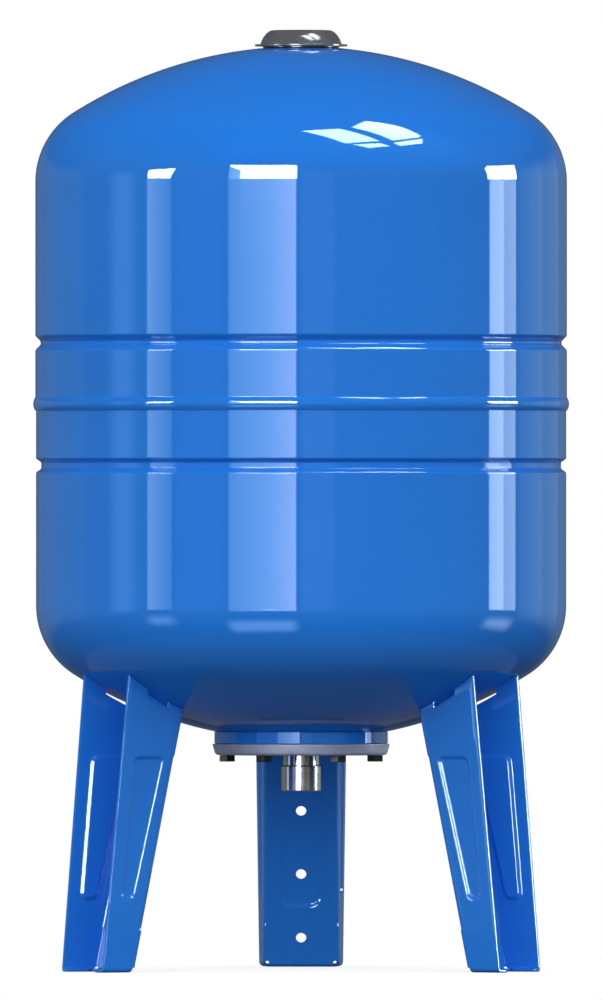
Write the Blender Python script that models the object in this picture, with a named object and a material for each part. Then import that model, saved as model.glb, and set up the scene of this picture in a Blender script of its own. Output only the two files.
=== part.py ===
"""Vertical well pressure tank on three pressed legs, in metres, +Z up.

The origin lies on the tank's axis at floor level. The body is two deep drawn shells joined by
a girth weld, with a valve under a plastic cover at the top and a bolted flange with the water
nipple and the rubber bladder at the bottom. The legs are folded sheet, webs towards the axis.
"""

import math

import bmesh
import bpy
import numpy as np
from mathutils import Matrix, Vector

MM = 0.001

# Gap kept between pieces that touch on the real tank
SEAT_GAP = 0.3 * MM

# Body shells
UPPER_SHELL_RADIUS = 225.3 * MM
SHELL_STEP = 0.6 * MM
SHELL_WALL = 1.5 * MM
LOWER_TANGENT_HEIGHT = 309.1 * MM
SEAM_ABOVE_LOWER_TANGENT = 170.8 * MM
UPPER_TANGENT_ABOVE_SEAM = 188.5 * MM
CROWN_RADIUS = 360.5 * MM
KNUCKLE_RADIUS = 69.3 * MM

# Rolled beads, one above and one below the seam
UPPER_BEAD_ABOVE_SEAM = 51.7 * MM
UPPER_BEAD_HALF_WIDTH = 7.0 * MM
UPPER_BEAD_FLAT = 0.4 * MM
UPPER_BEAD_DEPTH = 4.5 * MM
LOWER_BEAD_BELOW_SEAM = 52.2 * MM
LOWER_BEAD_HALF_WIDTH = 6.5 * MM
LOWER_BEAD_FLAT = 2.0 * MM
LOWER_BEAD_DEPTH = 4.4 * MM

# Lap joint and its weld
LAP_LENGTH = 8.0 * MM
JOGGLE_LENGTH = 1.5 * MM
WELD_HALF_WIDTH = 4.0 * MM
WELD_PROUD = 1.8 * MM

# Neck ring and the bolted counter flange below it
NECK_HOLE_RADIUS = 42.0 * MM
NECK_RING_RADIUS = 73.5 * MM
NECK_RING_EDGE_HEIGHT = 9.99 * MM
COUNTER_FLANGE_RADIUS = 75.3 * MM
COUNTER_FLANGE_HEIGHT = 9.45 * MM
COUNTER_FLANGE_SHEET = 3.0 * MM
COUNTER_FLANGE_DRAFT = 2.7 * MM
COUNTER_FLANGE_CORNER = 3.4 * MM
BOLT_COUNT = 6
BOLT_CIRCLE_RADIUS = 62.65 * MM
BOLT_RADIUS = 4.0 * MM
BOLT_HOLE_CLEARANCE = 0.5 * MM
BOLT_HEAD_FLATS = 13.0 * MM
BOLT_HEAD_HEIGHT = 5.3 * MM
BOLT_THREAD_IN_RING = 5.5 * MM

# Water nipple
NIPPLE_RADIUS = 16.8 * MM
NIPPLE_BORE = 13.0 * MM
NIPPLE_LENGTH = 30.7 * MM
NIPPLE_NECK_RADIUS = 15.3 * MM
NIPPLE_NECK_LENGTH = 7.4 * MM
NIPPLE_FLARE = 2.0 * MM
NIPPLE_CHAMFER = 0.8 * MM
NIPPLE_COLLAR_RADIUS = 20.0 * MM
NIPPLE_COLLAR_HEIGHT = 3.0 * MM

# Rubber bladder
BLADDER_WALL = 2.5 * MM
BLADDER_LIP_RADIUS = 56.0 * MM
BLADDER_SIDE_ROOM = 45.8 * MM
BLADDER_TOP_ROOM = 102.0 * MM
BLADDER_BOTTOM_ROOM = 24.0 * MM

# Air valve at the top
VALVE_SHANK_RADIUS = 6.0 * MM
VALVE_FOOT_RADIUS = 10.0 * MM
VALVE_FOOT_HEIGHT = 2.0 * MM
VALVE_GASKET_THICKNESS = 1.6 * MM
VALVE_NUT_FLATS = 19.0 * MM
VALVE_NUT_HEIGHT = 4.0 * MM
VALVE_THREAD_ABOVE_NUT = 0.6 * MM
VALVE_TIP_RADIUS = 3.85 * MM
VALVE_TIP_LENGTH = 5.8 * MM
VALVE_BORE = 2.6 * MM
VALVE_CORE_LENGTH = 13.0 * MM
VALVE_CORE_RECESS = 1.0 * MM
VALVE_PIN_RADIUS = 0.8 * MM
DUST_CAP_WALL = 1.2 * MM
DUST_CAP_TOP = 0.7 * MM

# Cover that snaps over the valve
COVER_HEIGHT = 13.7 * MM
COVER_TOP_RADIUS = 22.0 * MM
COVER_SHOULDER_RADIUS = 10.3 * MM
COVER_SIDE_ANGLE = math.radians(52.0)
COVER_WALL = 1.3 * MM
COVER_BRIM_RADIUS = 39.2 * MM
COVER_BRIM_THICKNESS = 1.1 * MM
COVER_BRIM_RISE = 0.7 * MM
COVER_SKIRT_RADIUS = 32.4 * MM
COVER_SLEEVE_REACH = 3.0 * MM

# Legs: a channel of folded sheet, web towards the axis and flanges outward
LEG_SHEET = 2.5 * MM
LEG_SETBACK = 12.3 * MM
LEG_FOOT_DEPTH = 32.5 * MM
LEG_WEB_LEAN = 0.2177
LEG_EDGE_LEAN = 0.093
LEG_HALF_WIDTH = 32.2 * MM
LEG_SPLAY = math.radians(6.5)
LEG_BEND_RADIUS = 3.4 * MM
LEG_WIDE_BEND_RADIUS = 5.6 * MM
LEG_WIDE_BEND_FROM = 36.0 * MM
LEG_WIDE_BEND_TO = 182.5 * MM
LEG_BEND_CHANGE = 3.0 * MM
LEG_PRESS_DEPTH = 2.0 * MM
LEG_NOTCH_SETBACK = 51.2 * MM
LEG_NOTCH_LENGTH = 21.9 * MM
LEG_NOTCH_DEPTH = 5.0 * MM

# Lips folded inward at the foot of the web and of both flanges, mitred towards each other
FOOT_BEND_RADIUS = 4.0 * MM
FOOT_LIP_LENGTH = 12.0 * MM
WEB_LIP_HALF_WIDTH = 27.3 * MM
FLANGE_LIP_START = 4.0 * MM
FOOT_RELIEF_RADIUS = 1.5 * MM
FOOT_RELIEF_ACROSS = 28.9 * MM
FOOT_RELIEF_HEIGHT = 3.5 * MM
FOOT_RELIEF_REACH = 4.0 * MM

# Fixing holes on the web's middle line
LEG_HOLE_RADIUS = 4.4 * MM
LEG_HOLE_FIRST_HEIGHT = 24.6 * MM
LEG_HOLE_PITCH = 54.05 * MM
LEG_HOLE_COUNT = 3

# Pressed panel of the web
WEB_PANEL_HALF_WIDTH = 17.6 * MM
WEB_PANEL_BOTTOM = 51.0 * MM
WEB_PANEL_TOP = 190.0 * MM
WEB_PANEL_CORNER = 10.0 * MM

# Pressed panel of each flange, its width as shares of the flange's width
FLANGE_PANEL_BOTTOM = 61.5 * MM
FLANGE_PANEL_TOP = 182.0 * MM
FLANGE_PANEL_CORNER = 5.5 * MM
FLANGE_PANEL_BOTTOM_SHARES = (0.365, 0.704)
FLANGE_PANEL_TOP_SHARES = (0.197, 0.770)

# Facets
BODY_SEGMENTS = 42
FLANGE_SEGMENTS = 30
COVER_SEGMENTS = 24
SMALL_SEGMENTS = 20
HOLE_SEGMENTS = 12
CORNER_SEGMENTS = 3

# Levels and radii that follow from the sizes above
LOWER_SHELL_RADIUS = UPPER_SHELL_RADIUS - SHELL_STEP
SEAM_HEIGHT = LOWER_TANGENT_HEIGHT + SEAM_ABOVE_LOWER_TANGENT
UPPER_TANGENT_HEIGHT = SEAM_HEIGHT + UPPER_TANGENT_ABOVE_SEAM
LEG_EDGE_FOOT_RADIUS = UPPER_SHELL_RADIUS - LEG_SETBACK
LEG_WEB_FOOT_RADIUS = LEG_EDGE_FOOT_RADIUS - LEG_FOOT_DEPTH
LEG_NOTCH_OUTER_RADIUS = UPPER_SHELL_RADIUS - LEG_NOTCH_SETBACK
LEG_NOTCH_INNER_RADIUS = LEG_NOTCH_OUTER_RADIUS - LEG_NOTCH_LENGTH


def arc(centre, radius, start, end, segments):
    """Return the points of an arc from angle start to angle end, both ends included."""
    angles = np.linspace(start, end, segments + 1)
    return [(centre[0] + radius * math.cos(a), centre[1] + radius * math.sin(a)) for a in angles]


def knuckle_turn(body_radius):
    """Return the angle from the horizontal at which the knuckle meets the crown."""
    return math.acos((body_radius - KNUCKLE_RADIUS) / (CROWN_RADIUS - KNUCKLE_RADIUS))


def head_height(radius, body_radius):
    """Return how far the crown of a head stands from its tangent plane at a radius."""
    turn = knuckle_turn(body_radius)
    centre = -(CROWN_RADIUS - KNUCKLE_RADIUS) * math.sin(turn)
    return centre + math.sqrt(CROWN_RADIUS ** 2 - radius ** 2)


def head_profile(body_radius, crown_stations):
    """Return a head's outline as radius and height, from its tangent plane to the last station."""
    turn = knuckle_turn(body_radius)
    knuckle_centre = (body_radius - KNUCKLE_RADIUS, 0.0)
    points = arc(knuckle_centre, KNUCKLE_RADIUS, 0.0, turn, 6)
    points += [(r, head_height(r, body_radius)) for r in crown_stations]
    return points


def lower_dome_height(radius):
    """Return the height of the lower shell's outside at a radius on its crown."""
    return LOWER_TANGENT_HEIGHT - head_height(radius, LOWER_SHELL_RADIUS)


def upper_dome_height(radius):
    """Return the height of the upper shell's outside at a radius on its crown."""
    return UPPER_TANGENT_HEIGHT + head_height(radius, UPPER_SHELL_RADIUS)


NECK_RING_BOTTOM = lower_dome_height(NECK_RING_RADIUS) - SEAT_GAP - NECK_RING_EDGE_HEIGHT
COUNTER_FLANGE_TOP = NECK_RING_BOTTOM - SEAT_GAP
COUNTER_FLANGE_BOTTOM = COUNTER_FLANGE_TOP - COUNTER_FLANGE_HEIGHT
COUNTER_FLANGE_FLOOR = COUNTER_FLANGE_BOTTOM + COUNTER_FLANGE_SHEET
BOLT_HEAD_TOP = COUNTER_FLANGE_BOTTOM - SEAT_GAP
BOLT_TIP = NECK_RING_BOTTOM + BOLT_THREAD_IN_RING


def lower_crown_stations():
    """Return the radii where the lower crown has an edge: what sits on it has one there too."""
    edge = CROWN_RADIUS * math.cos(knuckle_turn(LOWER_SHELL_RADIUS))
    middle = (NECK_RING_RADIUS + LEG_NOTCH_INNER_RADIUS) / 2
    stations = [LEG_NOTCH_OUTER_RADIUS, LEG_NOTCH_INNER_RADIUS, middle, NECK_RING_RADIUS]
    return [r for r in stations if r < edge] + [NECK_HOLE_RADIUS]


def bead_profile(centre, half_width, flat, depth, wall_radius):
    """Return a rolled bead's outline: a cosine flank on each side of a short flat bottom."""
    flank = half_width - flat
    shares = (0.0, 0.5, 1.0)
    lower = [(wall_radius - depth * (1 - math.cos(math.pi * s)) / 2, -half_width + flank * s)
             for s in shares]
    upper = [(r, -z) for r, z in reversed(lower)]
    return [(r, centre + z) for r, z in lower + upper]


def thickened(outline, thickness):
    """Return a closed section: the outline, and its copy moved to the left by the thickness."""
    points = [Vector(p) for p in outline]
    directions = [(b - a).normalized() for a, b in zip(points, points[1:])]
    offset = []
    for index, point in enumerate(points):
        before = directions[max(index - 1, 0)]
        after = directions[min(index, len(directions) - 1)]
        normal = (Vector((-before.y, before.x)) + Vector((-after.y, after.x))).normalized()
        mitre = thickness / normal.dot(Vector((-after.y, after.x)))
        offset.append(point + normal * mitre)
    return [tuple(p) for p in points] + [tuple(p) for p in reversed(offset)]


def finish(name, colour, roughness, metallic):
    """Return a material with one Principled BSDF."""
    material = bpy.data.materials.new(name)
    material.use_nodes = True
    shader = material.node_tree.nodes["Principled BSDF"]
    shader.inputs["Base Color"].default_value = (*colour, 1.0)
    shader.inputs["Roughness"].default_value = roughness
    shader.inputs["Metallic"].default_value = metallic
    return material


def new_object(name, bm, material):
    """Make a named object from a bmesh, with its faces pointing out and round faces smooth."""
    bmesh.ops.recalc_face_normals(bm, faces=bm.faces)
    mesh = bpy.data.meshes.new(name)
    bm.to_mesh(mesh)
    bm.free()
    mesh.shade_smooth()
    mesh.set_sharp_from_angle(angle=math.radians(35.0))
    if material:
        mesh.materials.append(material)
    item = bpy.data.objects.new(name, mesh)
    bpy.context.scene.collection.objects.link(item)
    return item


def turned(name, profile, segments, material):
    """Turn a profile of radius and height about Z: a ring, or a body whose ends are on the axis."""
    bm = bmesh.new()
    verts = [bm.verts.new((r, 0.0, z)) for r, z in profile]
    edges = [bm.edges.new(pair) for pair in zip(verts, verts[1:])]
    if profile[0][0] > 0.0:
        edges.append(bm.edges.new((verts[-1], verts[0])))
    bmesh.ops.spin(bm, geom=verts + edges, axis=(0, 0, 1), cent=(0, 0, 0),
                   angle=2 * math.pi, steps=segments, use_merge=True)
    bmesh.ops.remove_doubles(bm, verts=bm.verts, dist=0.001 * MM)
    return new_object(name, bm, material)


def cutter(item):
    """Turn an object into a cutter that is not part of the model."""
    item.hide_render = True
    item.display_type = "WIRE"
    return item


def cut(item, tool, operation="DIFFERENCE"):
    """Add an exact Boolean of the tool to an object."""
    modifier = item.modifiers.new(tool.name, "BOOLEAN")
    modifier.operation = operation
    modifier.solver = "EXACT"
    modifier.object = cutter(tool)


def add_rod(bm, radius, bottom, top, segments, centre=(0.0, 0.0), phase=0.0):
    """Add an upright closed rod to a bmesh, with a corner at the phase angle."""
    place = Matrix.Translation((centre[0], centre[1], (bottom + top) / 2))
    bmesh.ops.create_cone(bm, cap_ends=True, segments=segments, radius1=radius, radius2=radius,
                          depth=top - bottom, matrix=place @ Matrix.Rotation(phase, 4, "Z"))


def bolt_positions():
    """Return the bolt centres, one of them on +X."""
    angles = [2 * math.pi * k / BOLT_COUNT for k in range(BOLT_COUNT)]
    return [(BOLT_CIRCLE_RADIUS * math.cos(a), BOLT_CIRCLE_RADIUS * math.sin(a)) for a in angles]


def bolt_hole_tool(name, radius, bottom, top):
    """Return a cutter with one rod for each bolt."""
    bm = bmesh.new()
    for centre in bolt_positions():
        add_rod(bm, radius, bottom, top, HOLE_SEGMENTS, centre)
    return new_object(name, bm, None)


def make_upper_shell(paint):
    """Upper shell: wall with its bead, knuckle and crown down to the valve hole."""
    crown_edge = CROWN_RADIUS * math.cos(knuckle_turn(UPPER_SHELL_RADIUS))
    hole = VALVE_SHANK_RADIUS + SEAT_GAP
    stations = [crown_edge * share for share in (0.83, 0.66, 0.49, 0.32, 0.16)] + [hole]
    bead = bead_profile(SEAM_HEIGHT + UPPER_BEAD_ABOVE_SEAM, UPPER_BEAD_HALF_WIDTH,
                        UPPER_BEAD_FLAT, UPPER_BEAD_DEPTH, UPPER_SHELL_RADIUS)
    head = [(r, UPPER_TANGENT_HEIGHT + h) for r, h in head_profile(UPPER_SHELL_RADIUS, stations)]
    rim = [(UPPER_SHELL_RADIUS, SEAM_HEIGHT + SEAT_GAP)]
    return turned("upper_shell", thickened(rim + bead + head, SHELL_WALL), BODY_SEGMENTS, paint)


def make_lower_shell(paint):
    """Lower shell: the same form upside down, its rim stepped in to lap inside the upper shell."""
    head = head_profile(LOWER_SHELL_RADIUS, lower_crown_stations())
    head = [(r, LOWER_TANGENT_HEIGHT - h) for r, h in reversed(head)]
    bead = bead_profile(SEAM_HEIGHT - LOWER_BEAD_BELOW_SEAM, LOWER_BEAD_HALF_WIDTH,
                        LOWER_BEAD_FLAT, LOWER_BEAD_DEPTH, LOWER_SHELL_RADIUS)
    lap_radius = UPPER_SHELL_RADIUS - SHELL_WALL - SEAT_GAP
    rim = [(LOWER_SHELL_RADIUS, SEAM_HEIGHT - SEAT_GAP - JOGGLE_LENGTH),
           (lap_radius, SEAM_HEIGHT - SEAT_GAP),
           (lap_radius, SEAM_HEIGHT + LAP_LENGTH)]
    return turned("lower_shell", thickened(head + bead + rim, SHELL_WALL), BODY_SEGMENTS, paint)


def make_girth_weld(paint):
    """Weld bead over the lap joint, seated on both shells."""
    lower = LOWER_SHELL_RADIUS + SEAT_GAP
    upper = UPPER_SHELL_RADIUS + SEAT_GAP
    crest = UPPER_SHELL_RADIUS + WELD_PROUD
    section = [(lower, SEAM_HEIGHT - WELD_HALF_WIDTH),
               ((lower + crest) / 2, SEAM_HEIGHT - WELD_HALF_WIDTH * 0.85),
               (crest, SEAM_HEIGHT - WELD_HALF_WIDTH * 0.3),
               (crest, SEAM_HEIGHT + WELD_HALF_WIDTH * 0.3),
               ((upper + crest) / 2, SEAM_HEIGHT + WELD_HALF_WIDTH * 0.85),
               (upper, SEAM_HEIGHT + WELD_HALF_WIDTH),
               (upper, SEAM_HEIGHT),
               (lower, SEAM_HEIGHT)]
    return turned("girth_weld", section, BODY_SEGMENTS, paint)


def make_neck_ring(paint):
    """Thick ring welded under the lower shell, with tapped holes for the flange bolts."""
    section = [(NECK_HOLE_RADIUS, NECK_RING_BOTTOM),
               (NECK_RING_RADIUS, NECK_RING_BOTTOM),
               (NECK_RING_RADIUS, lower_dome_height(NECK_RING_RADIUS) - SEAT_GAP),
               (NECK_HOLE_RADIUS, lower_dome_height(NECK_HOLE_RADIUS) - SEAT_GAP)]
    ring = turned("neck_ring", section, BODY_SEGMENTS, paint)
    cut(ring, bolt_hole_tool("neck_ring_holes", BOLT_RADIUS + SEAT_GAP,
                             NECK_RING_BOTTOM - SEAT_GAP, BOLT_TIP + SEAT_GAP))
    return ring


def make_counter_flange(zinc):
    """Pressed pan, open side up, that clamps the bladder's lip against the neck ring."""
    bottom_radius = COUNTER_FLANGE_RADIUS - COUNTER_FLANGE_DRAFT
    corner_centre = (bottom_radius - COUNTER_FLANGE_CORNER,
                     COUNTER_FLANGE_BOTTOM + COUNTER_FLANGE_CORNER)
    outline = [(NIPPLE_NECK_RADIUS + SEAT_GAP, COUNTER_FLANGE_BOTTOM)]
    outline += arc(corner_centre, COUNTER_FLANGE_CORNER, -math.pi / 2, 0.0, CORNER_SEGMENTS)
    outline += [(COUNTER_FLANGE_RADIUS, COUNTER_FLANGE_TOP)]
    section = thickened(outline, COUNTER_FLANGE_SHEET)
    rim_inner = section[len(outline)]
    section[len(outline)] = (rim_inner[0], COUNTER_FLANGE_TOP)
    pan = turned("counter_flange", section, FLANGE_SEGMENTS, zinc)
    cut(pan, bolt_hole_tool("counter_flange_holes", BOLT_RADIUS + BOLT_HOLE_CLEARANCE,
                            COUNTER_FLANGE_BOTTOM - SEAT_GAP, COUNTER_FLANGE_FLOOR + SEAT_GAP))
    return pan


def make_water_nipple(steel):
    """Turned nipple through the flange's middle hole, with a collar on the flange's floor."""
    bottom = COUNTER_FLANGE_BOTTOM - NIPPLE_LENGTH
    shoulder = COUNTER_FLANGE_BOTTOM - NIPPLE_NECK_LENGTH
    collar = COUNTER_FLANGE_FLOOR + SEAT_GAP
    section = [(NIPPLE_BORE, bottom),
               (NIPPLE_RADIUS - NIPPLE_CHAMFER, bottom),
               (NIPPLE_RADIUS, bottom + NIPPLE_CHAMFER),
               (NIPPLE_RADIUS, shoulder - NIPPLE_FLARE),
               (NIPPLE_NECK_RADIUS, shoulder),
               (NIPPLE_NECK_RADIUS, collar),
               (NIPPLE_COLLAR_RADIUS, collar),
               (NIPPLE_COLLAR_RADIUS, collar + NIPPLE_COLLAR_HEIGHT),
               (NIPPLE_BORE, collar + NIPPLE_COLLAR_HEIGHT)]
    return turned("water_nipple", section, SMALL_SEGMENTS, steel)


def frozen(item, name):
    """Return an object's mesh with its modifiers applied, and take the object out of the model."""
    graph = bpy.context.evaluated_depsgraph_get()
    mesh = bpy.data.meshes.new_from_object(item.evaluated_get(graph))
    mesh.name = name
    cutter(item)
    return mesh


def place_copy(name, mesh):
    """Return a new object that shares a mesh."""
    item = bpy.data.objects.new(name, mesh)
    bpy.context.scene.collection.objects.link(item)
    return item


def make_flange_bolts(black_steel):
    """Hex bolts through the counter flange into the neck ring, heads below."""
    bm = bmesh.new()
    head_bottom = BOLT_HEAD_TOP - BOLT_HEAD_HEIGHT
    add_rod(bm, BOLT_HEAD_FLATS / math.sqrt(3.0), head_bottom, BOLT_HEAD_TOP, 6,
            phase=math.radians(30.0))
    head = new_object("bolt_head", bm, black_steel)
    bm = bmesh.new()
    add_rod(bm, BOLT_RADIUS, BOLT_HEAD_TOP - BOLT_HEAD_HEIGHT / 2, BOLT_TIP, HOLE_SEGMENTS)
    cut(head, new_object("bolt_shank", bm, black_steel), "UNION")
    mesh = frozen(head, "bolt")
    for number, (x, y) in enumerate(bolt_positions(), start=1):
        place_copy(f"flange_bolt_{number}", mesh).location = (x, y, 0.0)


def make_bladder(rubber):
    """Rubber bag with an open neck, its lip clamped between neck ring and counter flange."""
    top = upper_dome_height(0.0) - SHELL_WALL - BLADDER_TOP_ROOM
    bottom = lower_dome_height(0.0) + SHELL_WALL + BLADDER_BOTTOM_ROOM
    centre = (top + bottom) / 2
    neck = NECK_HOLE_RADIUS - 2 * SEAT_GAP

    def bag(shrink, neck_radius):
        """Return the bag's half ellipse from its top on the axis down to its neck."""
        across = LOWER_SHELL_RADIUS - SHELL_WALL - BLADDER_SIDE_ROOM - shrink
        up = (top - bottom) / 2 - shrink
        end = math.pi - math.asin(neck_radius / across)
        angles = np.linspace(0.0, end, 9)
        return [(across * math.sin(a), centre + up * math.cos(a)) for a in angles]

    lip_bottom = COUNTER_FLANGE_FLOOR + SEAT_GAP
    lip_top = NECK_RING_BOTTOM - SEAT_GAP
    outside = bag(0.0, neck) + [(neck, lip_top), (BLADDER_LIP_RADIUS, lip_top)]
    inside = bag(BLADDER_WALL, neck - BLADDER_WALL) + [(neck - BLADDER_WALL, lip_bottom)]
    outline = outside + [(BLADDER_LIP_RADIUS, lip_bottom)] + list(reversed(inside))
    return turned("bladder", outline, SMALL_SEGMENTS, rubber)


def nut_bottom():
    """Return the level of the valve nut's underside, just above the top of the dome."""
    return upper_dome_height(0.0) + SEAT_GAP


def valve_tip_level():
    """Return the level of the valve stem's upper end."""
    return nut_bottom() + VALVE_NUT_HEIGHT + VALVE_THREAD_ABOVE_NUT + VALVE_TIP_LENGTH


def gasket_top():
    """Return the level of the gasket's upper face, just under the dome's inside."""
    return upper_dome_height(VALVE_FOOT_RADIUS) - SHELL_WALL - SEAT_GAP


def make_air_valve(brass, rubber, plastic):
    """Air valve: stem from inside, gasket, nut outside, spring core and dust cap."""
    hole = VALVE_SHANK_RADIUS + SEAT_GAP
    gasket_bottom = gasket_top() - VALVE_GASKET_THICKNESS
    turned("valve_gasket", [(hole, gasket_bottom), (VALVE_FOOT_RADIUS, gasket_bottom),
                            (VALVE_FOOT_RADIUS, gasket_top()), (hole, gasket_top())],
           SMALL_SEGMENTS, rubber)

    foot_top = gasket_bottom - SEAT_GAP
    thread_top = valve_tip_level() - VALVE_TIP_LENGTH
    turned("valve_stem", [(VALVE_BORE, foot_top - VALVE_FOOT_HEIGHT),
                          (VALVE_FOOT_RADIUS, foot_top - VALVE_FOOT_HEIGHT),
                          (VALVE_FOOT_RADIUS, foot_top),
                          (VALVE_SHANK_RADIUS, foot_top),
                          (VALVE_SHANK_RADIUS, thread_top),
                          (VALVE_TIP_RADIUS, thread_top),
                          (VALVE_TIP_RADIUS, valve_tip_level()),
                          (VALVE_BORE, valve_tip_level())],
           SMALL_SEGMENTS, brass)

    bm = bmesh.new()
    nut_top = nut_bottom() + VALVE_NUT_HEIGHT
    add_rod(bm, VALVE_NUT_FLATS / math.sqrt(3.0), nut_bottom(), nut_top, 6)
    nut = new_object("valve_nut", bm, brass)
    bm = bmesh.new()
    add_rod(bm, hole, nut_bottom() - SEAT_GAP, nut_top + SEAT_GAP, SMALL_SEGMENTS)
    cut(nut, new_object("valve_nut_hole", bm, None))

    core_radius = VALVE_BORE - SEAT_GAP
    core_top = valve_tip_level() - VALVE_CORE_RECESS
    turned("valve_core", [(0.0, valve_tip_level()), (VALVE_PIN_RADIUS, valve_tip_level()),
                          (VALVE_PIN_RADIUS, core_top), (core_radius, core_top),
                          (core_radius, core_top - VALVE_CORE_LENGTH),
                          (0.0, core_top - VALVE_CORE_LENGTH)],
           HOLE_SEGMENTS, brass)

    cap_bore = VALVE_TIP_RADIUS + SEAT_GAP
    cap_ceiling = valve_tip_level() + SEAT_GAP
    turned("valve_dust_cap", [(0.0, cap_ceiling + DUST_CAP_TOP),
                              (cap_bore + DUST_CAP_WALL, cap_ceiling + DUST_CAP_TOP),
                              (cap_bore + DUST_CAP_WALL, thread_top + SEAT_GAP),
                              (cap_bore, thread_top + SEAT_GAP),
                              (cap_bore, cap_ceiling),
                              (0.0, cap_ceiling)],
           SMALL_SEGMENTS, plastic)


def make_valve_cover(plastic):
    """Low domed cover with a thin brim and a sleeve inside that grips the valve nut."""
    top = upper_dome_height(0.0) + COVER_HEIGHT
    brim_bottom = upper_dome_height(0.0) + COVER_BRIM_RISE
    brim_top = brim_bottom + COVER_BRIM_THICKNESS
    skirt_bottom = upper_dome_height(COVER_SKIRT_RADIUS) + SEAT_GAP
    sleeve_inner = VALVE_NUT_FLATS / math.sqrt(3.0) + SEAT_GAP
    sleeve_bottom = nut_bottom() + VALVE_NUT_HEIGHT - COVER_SLEEVE_REACH

    def hood(wall):
        """Return the hood's outline from the flat top over the shoulder to the brim's level."""
        centre = (COVER_TOP_RADIUS, top - COVER_SHOULDER_RADIUS)
        shoulder = arc(centre, COVER_SHOULDER_RADIUS - wall, math.pi / 2,
                       math.pi / 2 - COVER_SIDE_ANGLE, 4)
        drop = shoulder[-1][1] - brim_top
        foot = (shoulder[-1][0] + drop / math.tan(COVER_SIDE_ANGLE), brim_top)
        return shoulder + [foot]

    sleeve_outer = sleeve_inner + COVER_WALL
    ceiling = top - COVER_WALL
    skirt_inner = COVER_SKIRT_RADIUS - COVER_WALL
    outline = [(0.0, top)] + hood(0.0)
    outline += [(COVER_BRIM_RADIUS, brim_top), (COVER_BRIM_RADIUS, brim_bottom),
                (COVER_SKIRT_RADIUS, brim_bottom), (COVER_SKIRT_RADIUS, skirt_bottom),
                (skirt_inner, skirt_bottom), (skirt_inner, brim_bottom)]
    outline += list(reversed(hood(COVER_WALL)))
    outline += [(sleeve_outer, ceiling), (sleeve_outer, sleeve_bottom),
                (sleeve_inner, sleeve_bottom), (sleeve_inner, ceiling), (0.0, ceiling)]
    return turned("valve_cover", outline, COVER_SEGMENTS, plastic)


def leg_section(height, bend_radius):
    """Return the leg's outer skin at a height, from one flange's free edge to the other's."""
    web = LEG_WEB_FOOT_RADIUS - LEG_WEB_LEAN * height
    edge = LEG_EDGE_FOOT_RADIUS - LEG_EDGE_LEAN * height
    turn = math.pi / 2 - LEG_SPLAY
    flat_end = LEG_HALF_WIDTH - bend_radius * math.tan(turn / 2)
    right = arc((flat_end, web + bend_radius), bend_radius, -math.pi / 2, -LEG_SPLAY,
                CORNER_SEGMENTS)
    right.append((LEG_HALF_WIDTH + math.tan(LEG_SPLAY) * (edge - web), edge))
    left = [(-x, y) for x, y in reversed(right)]
    return [(x, y, height) for x, y in left + right]


def foot_path(lean):
    """Return a lip's outline from its bend to its end: distance inward and height.

    The wall above the bend leans back by the lean angle; the distance is taken from its foot.
    """
    turn = math.pi / 2 - lean
    tangent = FOOT_BEND_RADIUS * math.tan(turn / 2)
    bend = arc((tangent, FOOT_BEND_RADIUS), FOOT_BEND_RADIUS, math.pi + lean, 3 * math.pi / 2,
               CORNER_SEGMENTS)
    return bend + [(FOOT_LIP_LENGTH, 0.0)]


def flange_lean():
    """Return the angle by which a flange leans out of the vertical."""
    return math.atan(LEG_WEB_LEAN * math.sin(LEG_SPLAY))


def foot_top():
    """Return the height at which the walls of the leg turn into the foot's bends."""
    return foot_path(flange_lean())[0][1]


def web_lip():
    """Return the web's strip round its bend to the lip's end, as rows of two points."""
    path = foot_path(math.atan(LEG_WEB_LEAN))
    rows = []
    for index, (inward, height) in enumerate(path):
        half = WEB_LIP_HALF_WIDTH - (path[-1][0] - path[-2][0] if index == len(path) - 1 else 0.0)
        y = LEG_WEB_FOOT_RADIUS + inward
        rows.append([(-half, y, height), (half, y, height)])
    return rows


def flange_lip():
    """Return the right flange's strip round its bend to the lip's end, as rows of two points."""
    out = Vector((math.sin(LEG_SPLAY), math.cos(LEG_SPLAY), 0.0))
    inward = Vector((-math.cos(LEG_SPLAY), math.sin(LEG_SPLAY), 0.0))
    foot = Vector((LEG_HALF_WIDTH, LEG_WEB_FOOT_RADIUS, 0.0))
    path = foot_path(flange_lean())[1:]
    rows = []
    for index, (distance, height) in enumerate(path):
        mitre = path[-1][0] - path[-2][0] if index == len(path) - 1 else 0.0
        level = foot + inward * distance + Vector((0.0, 0.0, height))
        end = (LEG_EDGE_FOOT_RADIUS - LEG_WEB_FOOT_RADIUS) / out.y
        rows.append([tuple(level + out * (FLANGE_LIP_START + mitre)), tuple(level + out * end)])
    return rows


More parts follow.
